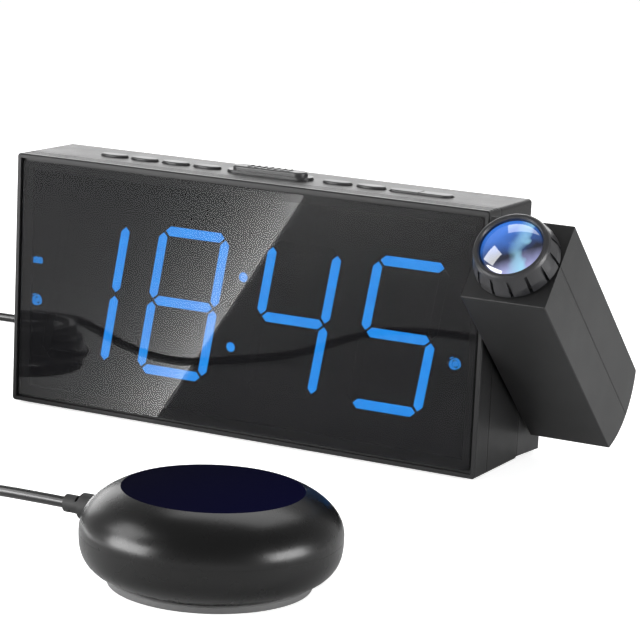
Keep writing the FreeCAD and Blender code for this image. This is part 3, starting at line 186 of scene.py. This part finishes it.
def moulded(name, colour, spread, rough, specular, grain, depth, seams=(), **constants):
    """Moulded plastic or rubber: spark-eroded grain, uneven tone and sheen, dark parting lines."""
    finish = Finish(name, rough, specular, **constants)
    light = tuple(c * (1 + spread) for c in colour)
    dark = tuple(c * (1 - spread) for c in colour)
    cloudy = finish.noise(CLOUD_SCALE, detail=4.0)
    fine = finish.noise(grain, detail=3.0)
    tone = finish.mixed((cloudy * CLOUD_SHARE + fine * GRAIN_SHARE).ramp(0.3, 0.7), dark, light)
    relief = fine
    for depth_share, height_share, start in seams:
        away = (finish.axis(1) * depth_share + finish.axis(2) * height_share - start).maths("ABSOLUTE")
        beside = away.ramp(SEAM_HALF, SEAM_HALF * SEAM_FADE)
        tone = finish.mixed(beside, SEAM_DARK, tone)
        relief = relief + beside * SEAM_RELIEF
    finish.link(tone, finish.shader.inputs["Base Color"])
    sheen = finish.noise(SHEEN_SCALE, detail=3.0)
    finish.roughness(sheen, low=rough - SHEEN_SPREAD, high=rough + SHEEN_SPREAD)
    finish.bump(relief, depth)
    return finish


def metal(name, colour, rough):
    """Plated or drawn metal with fine lengthwise scratches."""
    finish = Finish(name, rough, specular=0.5, Metallic=1.0)
    worn = finish.noise(scale=700.0, detail=4.0)
    shade = tuple(c * 0.8 for c in colour)
    finish.colours(worn.ramp(0.35, 0.65), shade, colour)
    finish.roughness(worn, low=rough - 0.08, high=rough + 0.12)
    finish.bump(worn, depth=0.00001)
    return finish


TRACK_PITCH = 0.0016


def board(name):
    """Green circuit board with copper tracks under the lacquer."""
    finish = Finish(name, rough=0.35, specular=0.5)
    across = finish.axis(0).maths("PINGPONG", TRACK_PITCH) * (1 / TRACK_PITCH)
    tracks = (across + finish.noise(scale=120.0, detail=1.0) * 0.8).ramp(0.86, 0.92)
    finish.colours(tracks, (0.008, 0.07, 0.025), (0.03, 0.17, 0.06))
    finish.bump(tracks, depth=0.00004)
    return finish


def glowing(name, deep, bright, strength):
    """Coloured light guide lit from behind, a little brighter in the middle of its grain."""
    finish = Finish(name, rough=0.4, specular=0.3, Emission_Strength=strength)
    uneven = finish.noise(scale=420.0).ramp(0.25, 0.75)
    finish.colours(uneven, deep, bright, "Emission Color")
    finish.colours(uneven, (0.01, 0.04, 0.10), (0.012, 0.06, 0.14))
    finish.bump(uneven, depth=0.00001)
    return finish


# Finishes of the clock, the arm, the shaker and the pieces inside
case_plastic = moulded("case_plastic", (0.012, 0.012, 0.0124), spread=0.16, rough=0.38, specular=0.26,
                       grain=5200.0, depth=0.000018, seams=[BEZEL_SEAM, COVER_SEAM])
rear_plastic = moulded("rear_plastic", (0.026, 0.026, 0.027), spread=0.16, rough=0.50, specular=0.42,
                       grain=3800.0, depth=0.00003, seams=[COVER_SEAM])
arm_plastic = moulded("arm_plastic", (0.015, 0.015, 0.0154), spread=0.16, rough=0.38, specular=0.30,
                      grain=5200.0, depth=0.000018, seams=[ARM_SEAM])
key_plastic = moulded("key_plastic", (0.030, 0.030, 0.031), spread=0.12, rough=0.34, specular=0.45,
                      grain=6000.0, depth=0.00001)
ring_plastic = moulded("ring_plastic", (0.022, 0.022, 0.024), spread=0.15, rough=0.30, specular=0.5,
                       grain=6000.0, depth=0.00001)
inner_plastic = moulded("inner_plastic", (0.008, 0.008, 0.008), spread=0.2, rough=0.6, specular=0.2,
                        grain=3000.0, depth=0.00002)
MATT_BLACK = {"colour": (0.002, 0.002, 0.002), "spread": 0.2, "rough": 0.7, "specular": 0.0,
              "grain": 600.0, "depth": 0.000001}
mask_plastic = moulded("mask_plastic", **MATT_BLACK)
shaker_plastic = moulded("shaker_plastic", (0.002, 0.002, 0.002), spread=0.2, rough=0.27, specular=0.38,
                         grain=7000.0, depth=0.000004)
base_rubber = moulded("base_rubber", (0.13, 0.13, 0.13), spread=0.10, rough=0.55, specular=0.4,
                      grain=1800.0, depth=0.00002)
rubber = moulded("rubber", (0.018, 0.018, 0.018), spread=0.2, rough=0.62, specular=0.35,
                 grain=2600.0, depth=0.00003)
cord_jacket = moulded("cord_jacket", (0.010, 0.010, 0.010), spread=0.2, rough=0.26, specular=0.5,
                      grain=1500.0, depth=0.00001)
steel = metal("steel", (0.56, 0.56, 0.57), rough=0.32)
nickel = metal("nickel", (0.70, 0.68, 0.64), rough=0.25)
circuit_board = board("circuit_board")
lamp_white = moulded("lamp_white", (0.72, 0.72, 0.66), spread=0.08, rough=0.35, specular=0.5,
                     grain=900.0, depth=0.00001)
clear_plastic = moulded("clear_plastic", (0.45, 0.50, 0.56), spread=0.08, rough=0.12, specular=0.5,
                        grain=500.0, depth=0.000004, Alpha=0.45)

# Top pad of the shaker: a flat woven disc, dark navy, with a painted blue glow that grows towards the right
THREAD_PITCH, THREAD_GAIN = 0.00022, 4500.0
PAINTED_GLOW_START, PAINTED_GLOW_END = 0.050, 0.104
shaker_cloth = Finish("shaker_cloth", rough=0.9, specular=0.01)
warp = shaker_cloth.axis(0).maths("PINGPONG", THREAD_PITCH) * THREAD_GAIN
weft = shaker_cloth.axis(1).maths("PINGPONG", THREAD_PITCH) * THREAD_GAIN
weave = (warp * weft + shaker_cloth.noise(scale=2400.0) * 0.3).clamped()
# Painted blue glow: the cloth's colour turns bluer from left to right across the pad
painted_glow_share = shaker_cloth.axis(0).ramp(PAINTED_GLOW_START, PAINTED_GLOW_END)
painted_glow_tint = shaker_cloth.mixed(painted_glow_share, (0.001, 0.001, 0.004), (0.002, 0.002, 0.020))
shaker_cloth.colours(weave, painted_glow_tint, (0.003, 0.003, 0.014))
shaker_cloth.bump(weave, depth=0.00003)

# Smoked window over the display
window = Finish("window", rough=0.03, specular=0.33, Alpha=0.5)
window.colours(window.noise(scale=55.0, detail=3.0), (0.008, 0.008, 0.009), (0.013, 0.013, 0.014))
window.roughness(window.noise(scale=120.0), low=0.012, high=0.035)

# Domed projection lens of dark glass under a clear coat, with painted reflections given as glow: blue to the
# upper left, a violet highlight to the lower right and cyan rays; one unit is about its rim's radius
LENS_UNIT_X, LENS_UNIT_Z = 100.0, 130.0
STRIPE_RATE = 5.0
PAINTED_REFLECTION_DARK, PAINTED_REFLECTION_BLUE = (0.004, 0.006, 0.02), (0.03, 0.16, 0.62)
PAINTED_HIGHLIGHT_VIOLET, PAINTED_RAY_CYAN = (0.42, 0.44, 0.78), (0.35, 0.72, 0.95)
lens_glass = Finish("lens_glass", rough=0.04, specular=0.8, Coat_Weight=1.0, Coat_Roughness=0.02,
                    Emission_Strength=1.0)
lens_middle = sum(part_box("projection_lens"), Vector()) / 2
lens_x = (lens_glass.axis(0) - lens_middle.x) * LENS_UNIT_X
lens_z = (lens_glass.axis(2) - lens_middle.z) * LENS_UNIT_Z
swirl = lens_glass.noise(scale=160.0) - 0.5


def lens_slope(x_share, z_share, swirl_share):
    """Rises over the lens in one direction, with its lines bent by the swirl."""
    return lens_x * x_share + lens_z * z_share + swirl * swirl_share


# Painted reflections over the lens, emitted as glow: blue upper left, a violet highlight lower right, cyan
# rays to the right
painted_blue_reflection = lens_slope(-0.5, 0.7, 0.6).ramp(-0.15, 0.75)
painted_violet_highlight = lens_slope(0.5, -0.9, 0.5).ramp(0.2, 0.85)
painted_ray_stripes = (lens_slope(0.9, 0.15, 0.9) * STRIPE_RATE).maths("SINE").ramp(0.1, 1.0)
painted_cyan_rays = painted_ray_stripes * lens_x.ramp(0.0, 0.6)
painted_lens_reflections = lens_glass.mixed(painted_blue_reflection, PAINTED_REFLECTION_DARK, PAINTED_REFLECTION_BLUE)
painted_lens_reflections = lens_glass.mixed(painted_violet_highlight, painted_lens_reflections, PAINTED_HIGHLIGHT_VIOLET)
painted_lens_reflections = lens_glass.mixed(painted_cyan_rays, painted_lens_reflections, PAINTED_RAY_CYAN)
lens_glass.link(painted_lens_reflections, lens_glass.shader.inputs["Emission Color"])
# The base colour carries the painted blue reflection of the upper left too
lens_glass.colours(painted_blue_reflection, (0.004, 0.005, 0.012), (0.02, 0.06, 0.20))

# Packed pieces that wear each finish
WEARERS = {
    case_plastic: ["front_bezel", "main_casing"],
    rear_plastic: ["rear_cover", "battery_door"],
    arm_plastic: ["arm_front_shell", "arm_rear_shell"],
    key_plastic: ["set_button", "alarm_one_button", "alarm_two_button", "sound_button", "shake_button",
                  "display_button", "snooze_bar", "volume_rocker"],
    ring_plastic: ["focus_ring"],
    mask_plastic: ["segment_mask"],
    inner_plastic: ["shaker_jack", "power_jack", "speaker", "key_switches", "pivot_hub",
                    "lens_barrel", "optics_chassis", "motor_bracket", "usb_port"],
    shaker_plastic: ["shaker_top_shell", "shaker_bottom_shell"],
    shaker_cloth: ["shaker_top_pad"],
    rubber: ["front_foot", "rear_foot", "pivot_washer", "shaker_base_pad", "shaker_boot",
             "shaker_plug"],
    steel: ["backup_cell", "case_screws", "rocker_pin", "arm_screws", "vibration_motor",
            "eccentric_weight"],
    nickel: ["cell_contact"],
    circuit_board: ["display_board", "main_board", "key_board", "projector_led_board"],
    lamp_white: ["display_leds", "projector_led"],
    clear_plastic: ["condenser_lens", "projector_lcd"],
    window: ["display_window"],
    lens_glass: ["projection_lens"],
}
for worn_finish, wearers in WEARERS.items():
    for wearer in wearers:
        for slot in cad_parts[wearer].material_slots:
            slot.link = "DATA"
            slot.material = worn_finish.material


# Cord from the clock to the shaker, with its spare length coiled to the left of the view
CORD_SIZE = 3.3 * MM
CORD_REST = 1.65
LEAVING = [(-62, 68.2, 18), (-62, 85.2, 18), (-74, 99.2, 13), (-93, 106.2, 6), (-118, 107.2, 2.05),
           (-150, 105.2, CORD_REST), (-180, 106.2, CORD_REST), (-201, 96.2, CORD_REST),
           (-211, 76.2, CORD_REST), (-210, 48.2, CORD_REST), (-200, 18.2, CORD_REST),
           (-182, -5.8, CORD_REST), (-153.2, -11, CORD_REST), (-143.2, -39, CORD_REST)]
ARRIVING = [(-107, -79.85, 15.75), (-92, -82.55, 8.05), (-74, -92.05, CORD_REST),
            (-60, -111.85, CORD_REST), (-43.8, -136, CORD_REST), (-18.8, -150, 13),
            (7.2, -153, 15), (27.2, -153, 15)]
COIL_X, COIL_Y, COIL_RADIUS, COIL_PITCH = -120.0, -59.0, 23.2, 4.7
COIL_LAYERS = (4, 4, 4, 3)
COIL_STEPS = 12


def coil_points():
    """Spiral in and out, layer by layer in half turns, climbing in the half turn where it reverses."""
    radius, height, angle = COIL_RADIUS, CORD_REST, math.pi
    points = []
    for layer, halves in enumerate(COIL_LAYERS):
        side = -COIL_PITCH / 2 if layer % 2 == 0 else COIL_PITCH / 2
        ways = [(side, 0.0)] * halves
        if layer < len(COIL_LAYERS) - 1:
            ways.append((0.0, COIL_PITCH))
        for out, climb in ways:
            for i in range(COIL_STEPS):
                eased = (1 - math.cos(math.pi * i / COIL_STEPS)) / 2
                turn, reach = angle + math.pi * i / COIL_STEPS, radius + out * eased
                points.append((COIL_X + reach * math.cos(turn), COIL_Y + reach * math.sin(turn),
                               height + climb * eased))
            radius, height, angle = radius + out, height + climb, angle + math.pi
    for i in range(COIL_STEPS // 2 + 1):
        turn = angle + math.pi * i / COIL_STEPS
        points.append((COIL_X + radius * math.cos(turn), COIL_Y + radius * math.sin(turn), height))
    return points


def placed(name, data):
    """Puts new data into the scene as an object at the origin."""
    thing = bpy.data.objects.new(name, data)
    bpy.context.scene.collection.objects.link(thing)
    return thing


def tube(name, points, diameter):
    curve = bpy.data.curves.new(name, "CURVE")
    curve.dimensions = "3D"
    curve.bevel_depth = diameter / 2
    curve.bevel_resolution = 5
    curve.resolution_u = 6
    curve.use_fill_caps = True
    spline = curve.splines.new("NURBS")
    spline.points.add(len(points) - 1)
    for control, point in zip(spline.points, points):
        control.co = (*(value * MM for value in point), 1.0)
    spline.order_u = 3
    spline.use_endpoint_u = True
    return placed(name, curve)


cord = tube("shaker_cord", LEAVING + coil_points() + ARRIVING, CORD_SIZE)
cord.data.materials.append(cord_jacket.material)
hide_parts("cord_clock_run", "cord_coil", "cord_shaker_run")
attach(cord, "case")


# Display strokes, softened at their edges, with the shown figures lit
SLANT, STROKE, GAP = 0.157, 3.3, 0.6
DIGIT_WIDTH, DIGIT_HEIGHT, MIDDLE_X, MIDDLE_Z = 24.2, 49.0, -2.1, 43.6
DIGIT_STEPS = (-60.5, -21.2, 21.2, 60.5)
SHOWN = ("bc", "abcdefg", "bcfg", "acdfg")
STROKE_FRONT, STROKE_BACK = -5.8, -3.8
STROKE_SOFT = 0.18
DOT_SIZE, DOT_SIDES = 3.3, 28


def prism(verts, faces, outline, soft):
    """Adds a flat-backed stroke whose front edge is softened, from an outline in x and z."""
    centre = sum((Vector(corner) for corner in outline), Vector((0, 0))) / len(outline)
    rings = []
    for depth, shrink in ((STROKE_BACK, 0.0), (STROKE_FRONT + soft, 0.0), (STROKE_FRONT, soft)):
        ring = []
        for corner in outline:
            away = Vector(corner) - centre
            inner = Vector(corner) - away.normalized() * shrink
            ring.append(len(verts))
            verts.append((inner.x * MM, depth * MM, inner.y * MM))
        rings.append(ring)
    for lower, upper in zip(rings, rings[1:]):
        for i in range(len(outline)):
            j = (i + 1) % len(outline)
            faces.append((lower[i], lower[j], upper[j], upper[i]))
    faces.append(tuple(reversed(rings[0])))
    faces.append(tuple(rings[-1]))


def stroke_outline(x, z, upright):
    reach = (DIGIT_HEIGHT / 4 if upright else DIGIT_WIDTH / 2) - GAP
    half = STROKE / 2
    tip = reach - half
    flat = [(-reach, 0), (-tip, -half), (tip, -half), (reach, 0), (tip, half), (-tip, half)]
    if upright:
        flat = [(w, u) for u, w in reversed(flat)]
    return [(x + u + SLANT * (z + w), MIDDLE_Z + z + w) for u, w in flat]


def dot_outline(z):
    corners = []
    for i in range(DOT_SIDES):
        turn = 2 * math.pi * i / DOT_SIDES
        corners.append((MIDDLE_X + SLANT * z + DOT_SIZE / 2 * math.cos(turn),
                        MIDDLE_Z + z + DOT_SIZE / 2 * math.sin(turn)))
    return corners


def mesh_piece(name, verts, faces, finish):
    mesh = bpy.data.meshes.new(name)
    mesh.from_pydata(verts, [], faces)
    mesh.validate()
    mesh.materials.append(finish.material)
    return placed(name, mesh)


def digit_strokes():
    """Outlines of all strokes as (lit, outline) pairs."""
    half_w, half_h = DIGIT_WIDTH / 2, DIGIT_HEIGHT / 2
    places = {"a": (0, half_h, False), "g": (0, 0, False), "d": (0, -half_h, False),
              "b": (half_w, half_h / 2, True), "c": (half_w, -half_h / 2, True),
              "f": (-half_w, half_h / 2, True), "e": (-half_w, -half_h / 2, True)}
    found = []
    for step, lit in zip(DIGIT_STEPS, SHOWN):
        for key, (dx, dz, upright) in places.items():
            found.append((key in lit, stroke_outline(MIDDLE_X + step + dx, dz, upright)))
    for dz in (-half_h / 2, half_h / 2):
        found.append((True, dot_outline(dz)))
    return found


digit_blue = glowing("digit_blue", (0.004, 0.26, 0.88), (0.012, 0.33, 1.0), strength=3.3)
digit_dark = moulded("digit_dark", **MATT_BLACK)
for stroke_name, wanted, stroke_finish in (("digit_lit_strokes", True, digit_blue),
                                           ("digit_unlit_strokes", False, digit_dark)):
    stroke_verts, stroke_faces = [], []
    for lit, outline in digit_strokes():
        if lit == wanted:
            prism(stroke_verts, stroke_faces, outline, STROKE_SOFT)
    strokes = mesh_piece(stroke_name, stroke_verts, stroke_faces, stroke_finish)
    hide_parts("digit_segments")
    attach(strokes, "case")


# Small plain marks in place of the indicators beside the digits
RING_RADIUS, RING_THICK, RING_SIDES = 1.8, 0.3, 24
HAND_PITCH, HAND_SIZE = 0.8, (0.26, 1.5)
EAR_X, EAR_Z, EAR_SIZE = 1.45, 1.85, (0.6, 0.3)
BAR_COUNT, BAR_PITCH, BAR_SIZE = 3, 1.35, (0.9, 1.9)
BAR_SOFT = 0.05
RING_MARKS = ((-83.0, 37.2, 1), (79.0, 37.2, 2))
BAR_MARK = (-83.0, 51.4)


def ring_mark(verts, faces, x, z):
    """Adds a raised ring facing the front."""
    start = len(verts)
    for depth in (STROKE_BACK, STROKE_FRONT):
        for reach in (RING_RADIUS - RING_THICK, RING_RADIUS):
            for i in range(RING_SIDES):
                turn = 2 * math.pi * i / RING_SIDES
                across, above = x + reach * math.cos(turn), z + reach * math.sin(turn)
                verts.append((across * MM, depth * MM, above * MM))
    back_in, back_out, front_in, front_out = (start + k * RING_SIDES for k in range(4))
    for i in range(RING_SIDES):
        j = (i + 1) % RING_SIDES
        faces.append((front_in + i, front_in + j, front_out + j, front_out + i))
        faces.append((back_out + i, back_out + j, back_in + j, back_in + i))
        faces.append((front_out + i, front_out + j, back_out + j, back_out + i))
        faces.append((back_in + i, back_in + j, front_in + j, front_in + i))


def bar_mark(verts, faces, x, z, size):
    half_w, half_h = size[0] / 2, size[1] / 2
    outline = [(x - half_w, z - half_h), (x + half_w, z - half_h),
               (x + half_w, z + half_h), (x - half_w, z + half_h)]
    prism(verts, faces, outline, BAR_SOFT)


mark_verts, mark_faces = [], []
for x, z, hands in RING_MARKS:
    ring_mark(mark_verts, mark_faces, x, z)
    for i in range(hands):
        bar_mark(mark_verts, mark_faces, x + (i - (hands - 1) / 2) * HAND_PITCH, z, HAND_SIZE)
    for side in (-1, 1):
        bar_mark(mark_verts, mark_faces, x + side * EAR_X, z + EAR_Z, EAR_SIZE)
for i in range(BAR_COUNT):
    bar_x = BAR_MARK[0] + (i - (BAR_COUNT - 1) / 2) * BAR_PITCH
    bar_mark(mark_verts, mark_faces, bar_x, BAR_MARK[1], BAR_SIZE)
mark_blue = glowing("mark_blue", (0.006, 0.20, 0.62), (0.012, 0.25, 0.74), strength=3.0)
marks = mesh_piece("indicator_marks", mark_verts, mark_faces, mark_blue)
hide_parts("icon_guides")
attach(marks, "case")


# Lower half of the shaker, fuller towards its base, and the pale rubber rim that it stands on
SHAKER_X, SHAKER_Y = 75.0, -153.0
SHAKER_RADIUS, SHAKER_CORE, SHAKER_MIDDLE = 36.8, 12.5, 15.25
SHAKER_HALF_HEIGHT = 14.25
SPLIT_HEIGHT, LOWER_EDGE, SHAKER_WALL = 14.5, 2.3, 1.6
LOWER_OPENING = 20.0
LEVEL_COUNT, LEVEL_CROWDING = 24, 1.4
RIM_RADIUS, RIM_HOLE, RIM_TOP = 28.8, 18.0, 1.9
TURN_SIDES = 128
SHARP_ANGLE = math.radians(35)


def turned_piece(name, profile, finish):
    """A closed outline of radius and height pairs, turned about the shaker's axis."""
    verts, faces = [], []
    count = len(profile)
    for i in range(TURN_SIDES):
        turn = 2 * math.pi * i / TURN_SIDES
        for r, z in profile:
            x, y = SHAKER_X + r * math.cos(turn), SHAKER_Y + r * math.sin(turn)
            verts.append((x * MM, y * MM, z * MM))
    for i in range(TURN_SIDES):
        j = (i + 1) % TURN_SIDES
        for k in range(count):
            m = (k + 1) % count
            faces.append((i * count + k, j * count + k, j * count + m, i * count + m))
    thing = mesh_piece(name, verts, faces, finish)
    bpy.ops.object.select_all(action="DESELECT")
    bpy.context.view_layer.objects.active = thing
    thing.select_set(True)
    bpy.ops.object.shade_smooth_by_angle(angle=SHARP_ANGLE)
    return thing


def side_radius(z):
    """Radius of the shaker's rounded side at a height below its middle."""
    drop = (SHAKER_MIDDLE - z) / SHAKER_HALF_HEIGHT
    return SHAKER_CORE + (SHAKER_RADIUS - SHAKER_CORE) * (1 - drop ** 3) ** (1 / 3)


outer = []
for i in range(LEVEL_COUNT + 1):
    level_z = LOWER_EDGE + (SPLIT_HEIGHT - LOWER_EDGE) * (i / LEVEL_COUNT) ** LEVEL_CROWDING
    outer.append((side_radius(level_z), level_z))
inner = [(r - SHAKER_WALL, z) for r, z in reversed(outer)]
lower_body = turned_piece("shaker_lower_body", outer + inner + [(LOWER_OPENING, LOWER_EDGE)], shaker_plastic)
rim_profile = [(RIM_HOLE, 0.0), (RIM_RADIUS - 0.7, 0.0), (RIM_RADIUS - 0.2, 0.2), (RIM_RADIUS, 0.7),
               (RIM_RADIUS, RIM_TOP), (RIM_RADIUS - 0.4, LOWER_EDGE), (RIM_HOLE, LOWER_EDGE)]
base_rim = turned_piece("shaker_base_rim", rim_profile, base_rubber)
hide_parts("shaker_bottom_shell")
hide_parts("shaker_base_pad")
for turned, slot_name in ((lower_body, "shaker_plastic"), (base_rim, "rubber")):
    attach(turned, "case")


# Camera, at the viewpoint worked out from the clock's front face and the lens
CAMERA_PLACE = Vector((0.42038, -0.76190, 0.21740))
CAMERA_RIGHT = Vector((0.8832, 0.4668, 0.0452))
CAMERA_BACK = Vector((0.4501, -0.8708, 0.1977))
camera_data = bpy.data.cameras.new("camera")
camera_data.sensor_width = 36.0
camera_data.lens = 147.4
camera_data.clip_end = 50.0
camera = placed("camera", camera_data)
back = CAMERA_BACK.normalized()
right = (CAMERA_RIGHT - back * CAMERA_RIGHT.dot(back)).normalized()
up = back.cross(right)
camera.matrix_world = Matrix.Translation(CAMERA_PLACE) @ Matrix((right, up, back)).transposed().to_4x4()
bpy.context.scene.camera = camera


def flat_piece(name, corners, height):
    mesh = bpy.data.meshes.new(name)
    mesh.from_pydata([(x, y, height) for x, y in corners], [], [tuple(range(len(corners)))])
    return placed(name, mesh)


# Pale floor, white to the camera apart from the object's shadow
FLOOR_REACH = 12
FLOOR_GLOW = 0.74
floor_finish = Finish("floor", rough=0.9, specular=0.0)
floor_finish.colours(floor_finish.noise(scale=3.0), (0.80, 0.80, 0.80), (0.82, 0.82, 0.82))
glow = floor_finish.add("ShaderNodeEmission")
glow.inputs["Strength"].default_value = FLOOR_GLOW
blend = floor_finish.add("ShaderNodeAddShader")
floor_finish.link(floor_finish.add("ShaderNodeLightPath").outputs["Is Camera Ray"], glow.inputs["Color"])
floor_finish.link(floor_finish.shader.outputs[0], blend.inputs[0])
floor_finish.link(glow.outputs[0], blend.inputs[1])
floor_finish.link(blend.outputs[0], floor_finish.output.inputs[0])
floor = flat_piece("floor", [(-FLOOR_REACH, -FLOOR_REACH), (FLOOR_REACH, -FLOOR_REACH),
                             (FLOOR_REACH, FLOOR_REACH), (-FLOOR_REACH, FLOOR_REACH)], 0.0)
floor.data.materials.append(floor_finish.material)

# Light card lying in front of the clock, seen only in gloss: it makes the window's slanted glare
WINDOW_Y = -0.0085
WINDOW_LEFT, WINDOW_TOP, WINDOW_FOOT = -0.0875, 0.0866, 0.0034
MIRRORED = Vector((CAMERA_PLACE.x, 2 * WINDOW_Y - CAMERA_PLACE.y, CAMERA_PLACE.z))
GLARE_TOP, GLARE_BOTTOM = (0.0232, WINDOW_TOP), (-0.0305, WINDOW_FOOT)
GLARE_FADE = 0.0165
CARD_HEIGHT = 0.0003
CARD_POWER = 15.0


def on_floor(x, z):
    """Where the camera, mirrored in the window, sees the floor through a point of the window."""
    stretch = (MIRRORED.z - CARD_HEIGHT) / (MIRRORED.z - z)
    spot = MIRRORED + (Vector((x, WINDOW_Y, z)) - MIRRORED) * stretch
    return spot.x, spot.y


card = flat_piece("glare_card", [on_floor(WINDOW_LEFT, WINDOW_TOP), on_floor(WINDOW_LEFT, WINDOW_FOOT),
                                 on_floor(*GLARE_BOTTOM), on_floor(*GLARE_TOP)], CARD_HEIGHT)
card_finish = Finish("glare_card", rough=1.0, specular=0.0, Emission_Strength=CARD_POWER)
nearness = (WINDOW_Y - MIRRORED.y) / (card_finish.axis(1) - MIRRORED.y)
seen_x = (card_finish.axis(0) - MIRRORED.x) * nearness + MIRRORED.x
seen_z = nearness * (CARD_HEIGHT - MIRRORED.z) + MIRRORED.z
lean = (GLARE_TOP[0] - GLARE_BOTTOM[0]) / (GLARE_TOP[1] - GLARE_BOTTOM[1])
distance = seen_z * lean + (GLARE_TOP[0] - GLARE_TOP[1] * lean) - seen_x
bright = (distance * (-1.0 / GLARE_FADE)).maths("EXPONENT").clamped()
card_finish.colours(bright, (0.1, 0.1, 0.1), (1.0, 1.0, 1.0), "Emission Color")
card_finish.colours(bright, (0.0, 0.0, 0.0), (0.01, 0.01, 0.01))
card.data.materials.append(card_finish.material)
for setting in ("visible_camera", "visible_diffuse", "visible_shadow", "visible_transmission"):
    setattr(card, setting, False)


# Studio: a pale world that is white to the camera, and soft lamps round the object
SKY_LEAST, SKY_BAND = 0.35, 0.55
world = bpy.data.worlds.new("studio")
bpy.context.scene.world = world
world.use_nodes = True
nodes, links = world.node_tree.nodes, world.node_tree.links
nodes.clear()
sky = nodes.new("ShaderNodeBackground")
sky_out = nodes.new("ShaderNodeOutputWorld")
links.new(sky.outputs[0], sky_out.inputs[0])
sky_axes = nodes.new("ShaderNodeSeparateXYZ")
links.new(nodes.new("ShaderNodeTexCoord").outputs["Generated"], sky_axes.inputs[0])
sky_height = Field(world.node_tree, sky_axes.outputs[2])
level = SKY_LEAST + SKY_BAND * (1.0 - sky_height.maths("ABSOLUTE")).power(3.0)
camera_ray = Field(world.node_tree, nodes.new("ShaderNodeLightPath").outputs["Is Camera Ray"])
links.new(level.maths("MAXIMUM", camera_ray).socket, sky.inputs["Strength"])

# Lamps: name, place, aim, width, height and power
LAMPS = (("left_softbox", (-0.43, -0.64, 0.19), (0.06, -0.13, 0.03), 0.50, 0.32, 6.5),
         ("right_softbox", (0.76, -0.06, 0.15), (0.07, -0.13, 0.03), 0.44, 0.26, 4.5),
         ("high_softbox", (-0.62, -0.46, 0.62), (0.05, -0.08, 0.04), 0.46, 0.40, 3.0),
         ("top_softbox", (-0.05, 0.35, 0.80), (0.0, 0.0, 0.03), 0.70, 0.50, 2.6),
         ("back_softbox", (-0.75, 1.25, 0.42), (0.0, 0.0, 0.06), 2.20, 0.56, 9.0))
for lamp_name, lamp_place, aim, lamp_width, lamp_height, power in LAMPS:
    lamp = bpy.data.lights.new(lamp_name, "AREA")
    lamp.shape = "RECTANGLE"
    lamp.size = lamp_width
    lamp.size_y = lamp_height
    lamp.energy = power
    softbox = placed(lamp_name, lamp)
    softbox.visible_camera = False
    away = (Vector(lamp_place) - Vector(aim)).normalized()
    softbox.matrix_world = Matrix.Translation(lamp_place) @ away.to_track_quat("Z", "Y").to_matrix().to_4x4()

bpy.context.scene.view_settings.view_transform = "Standard"
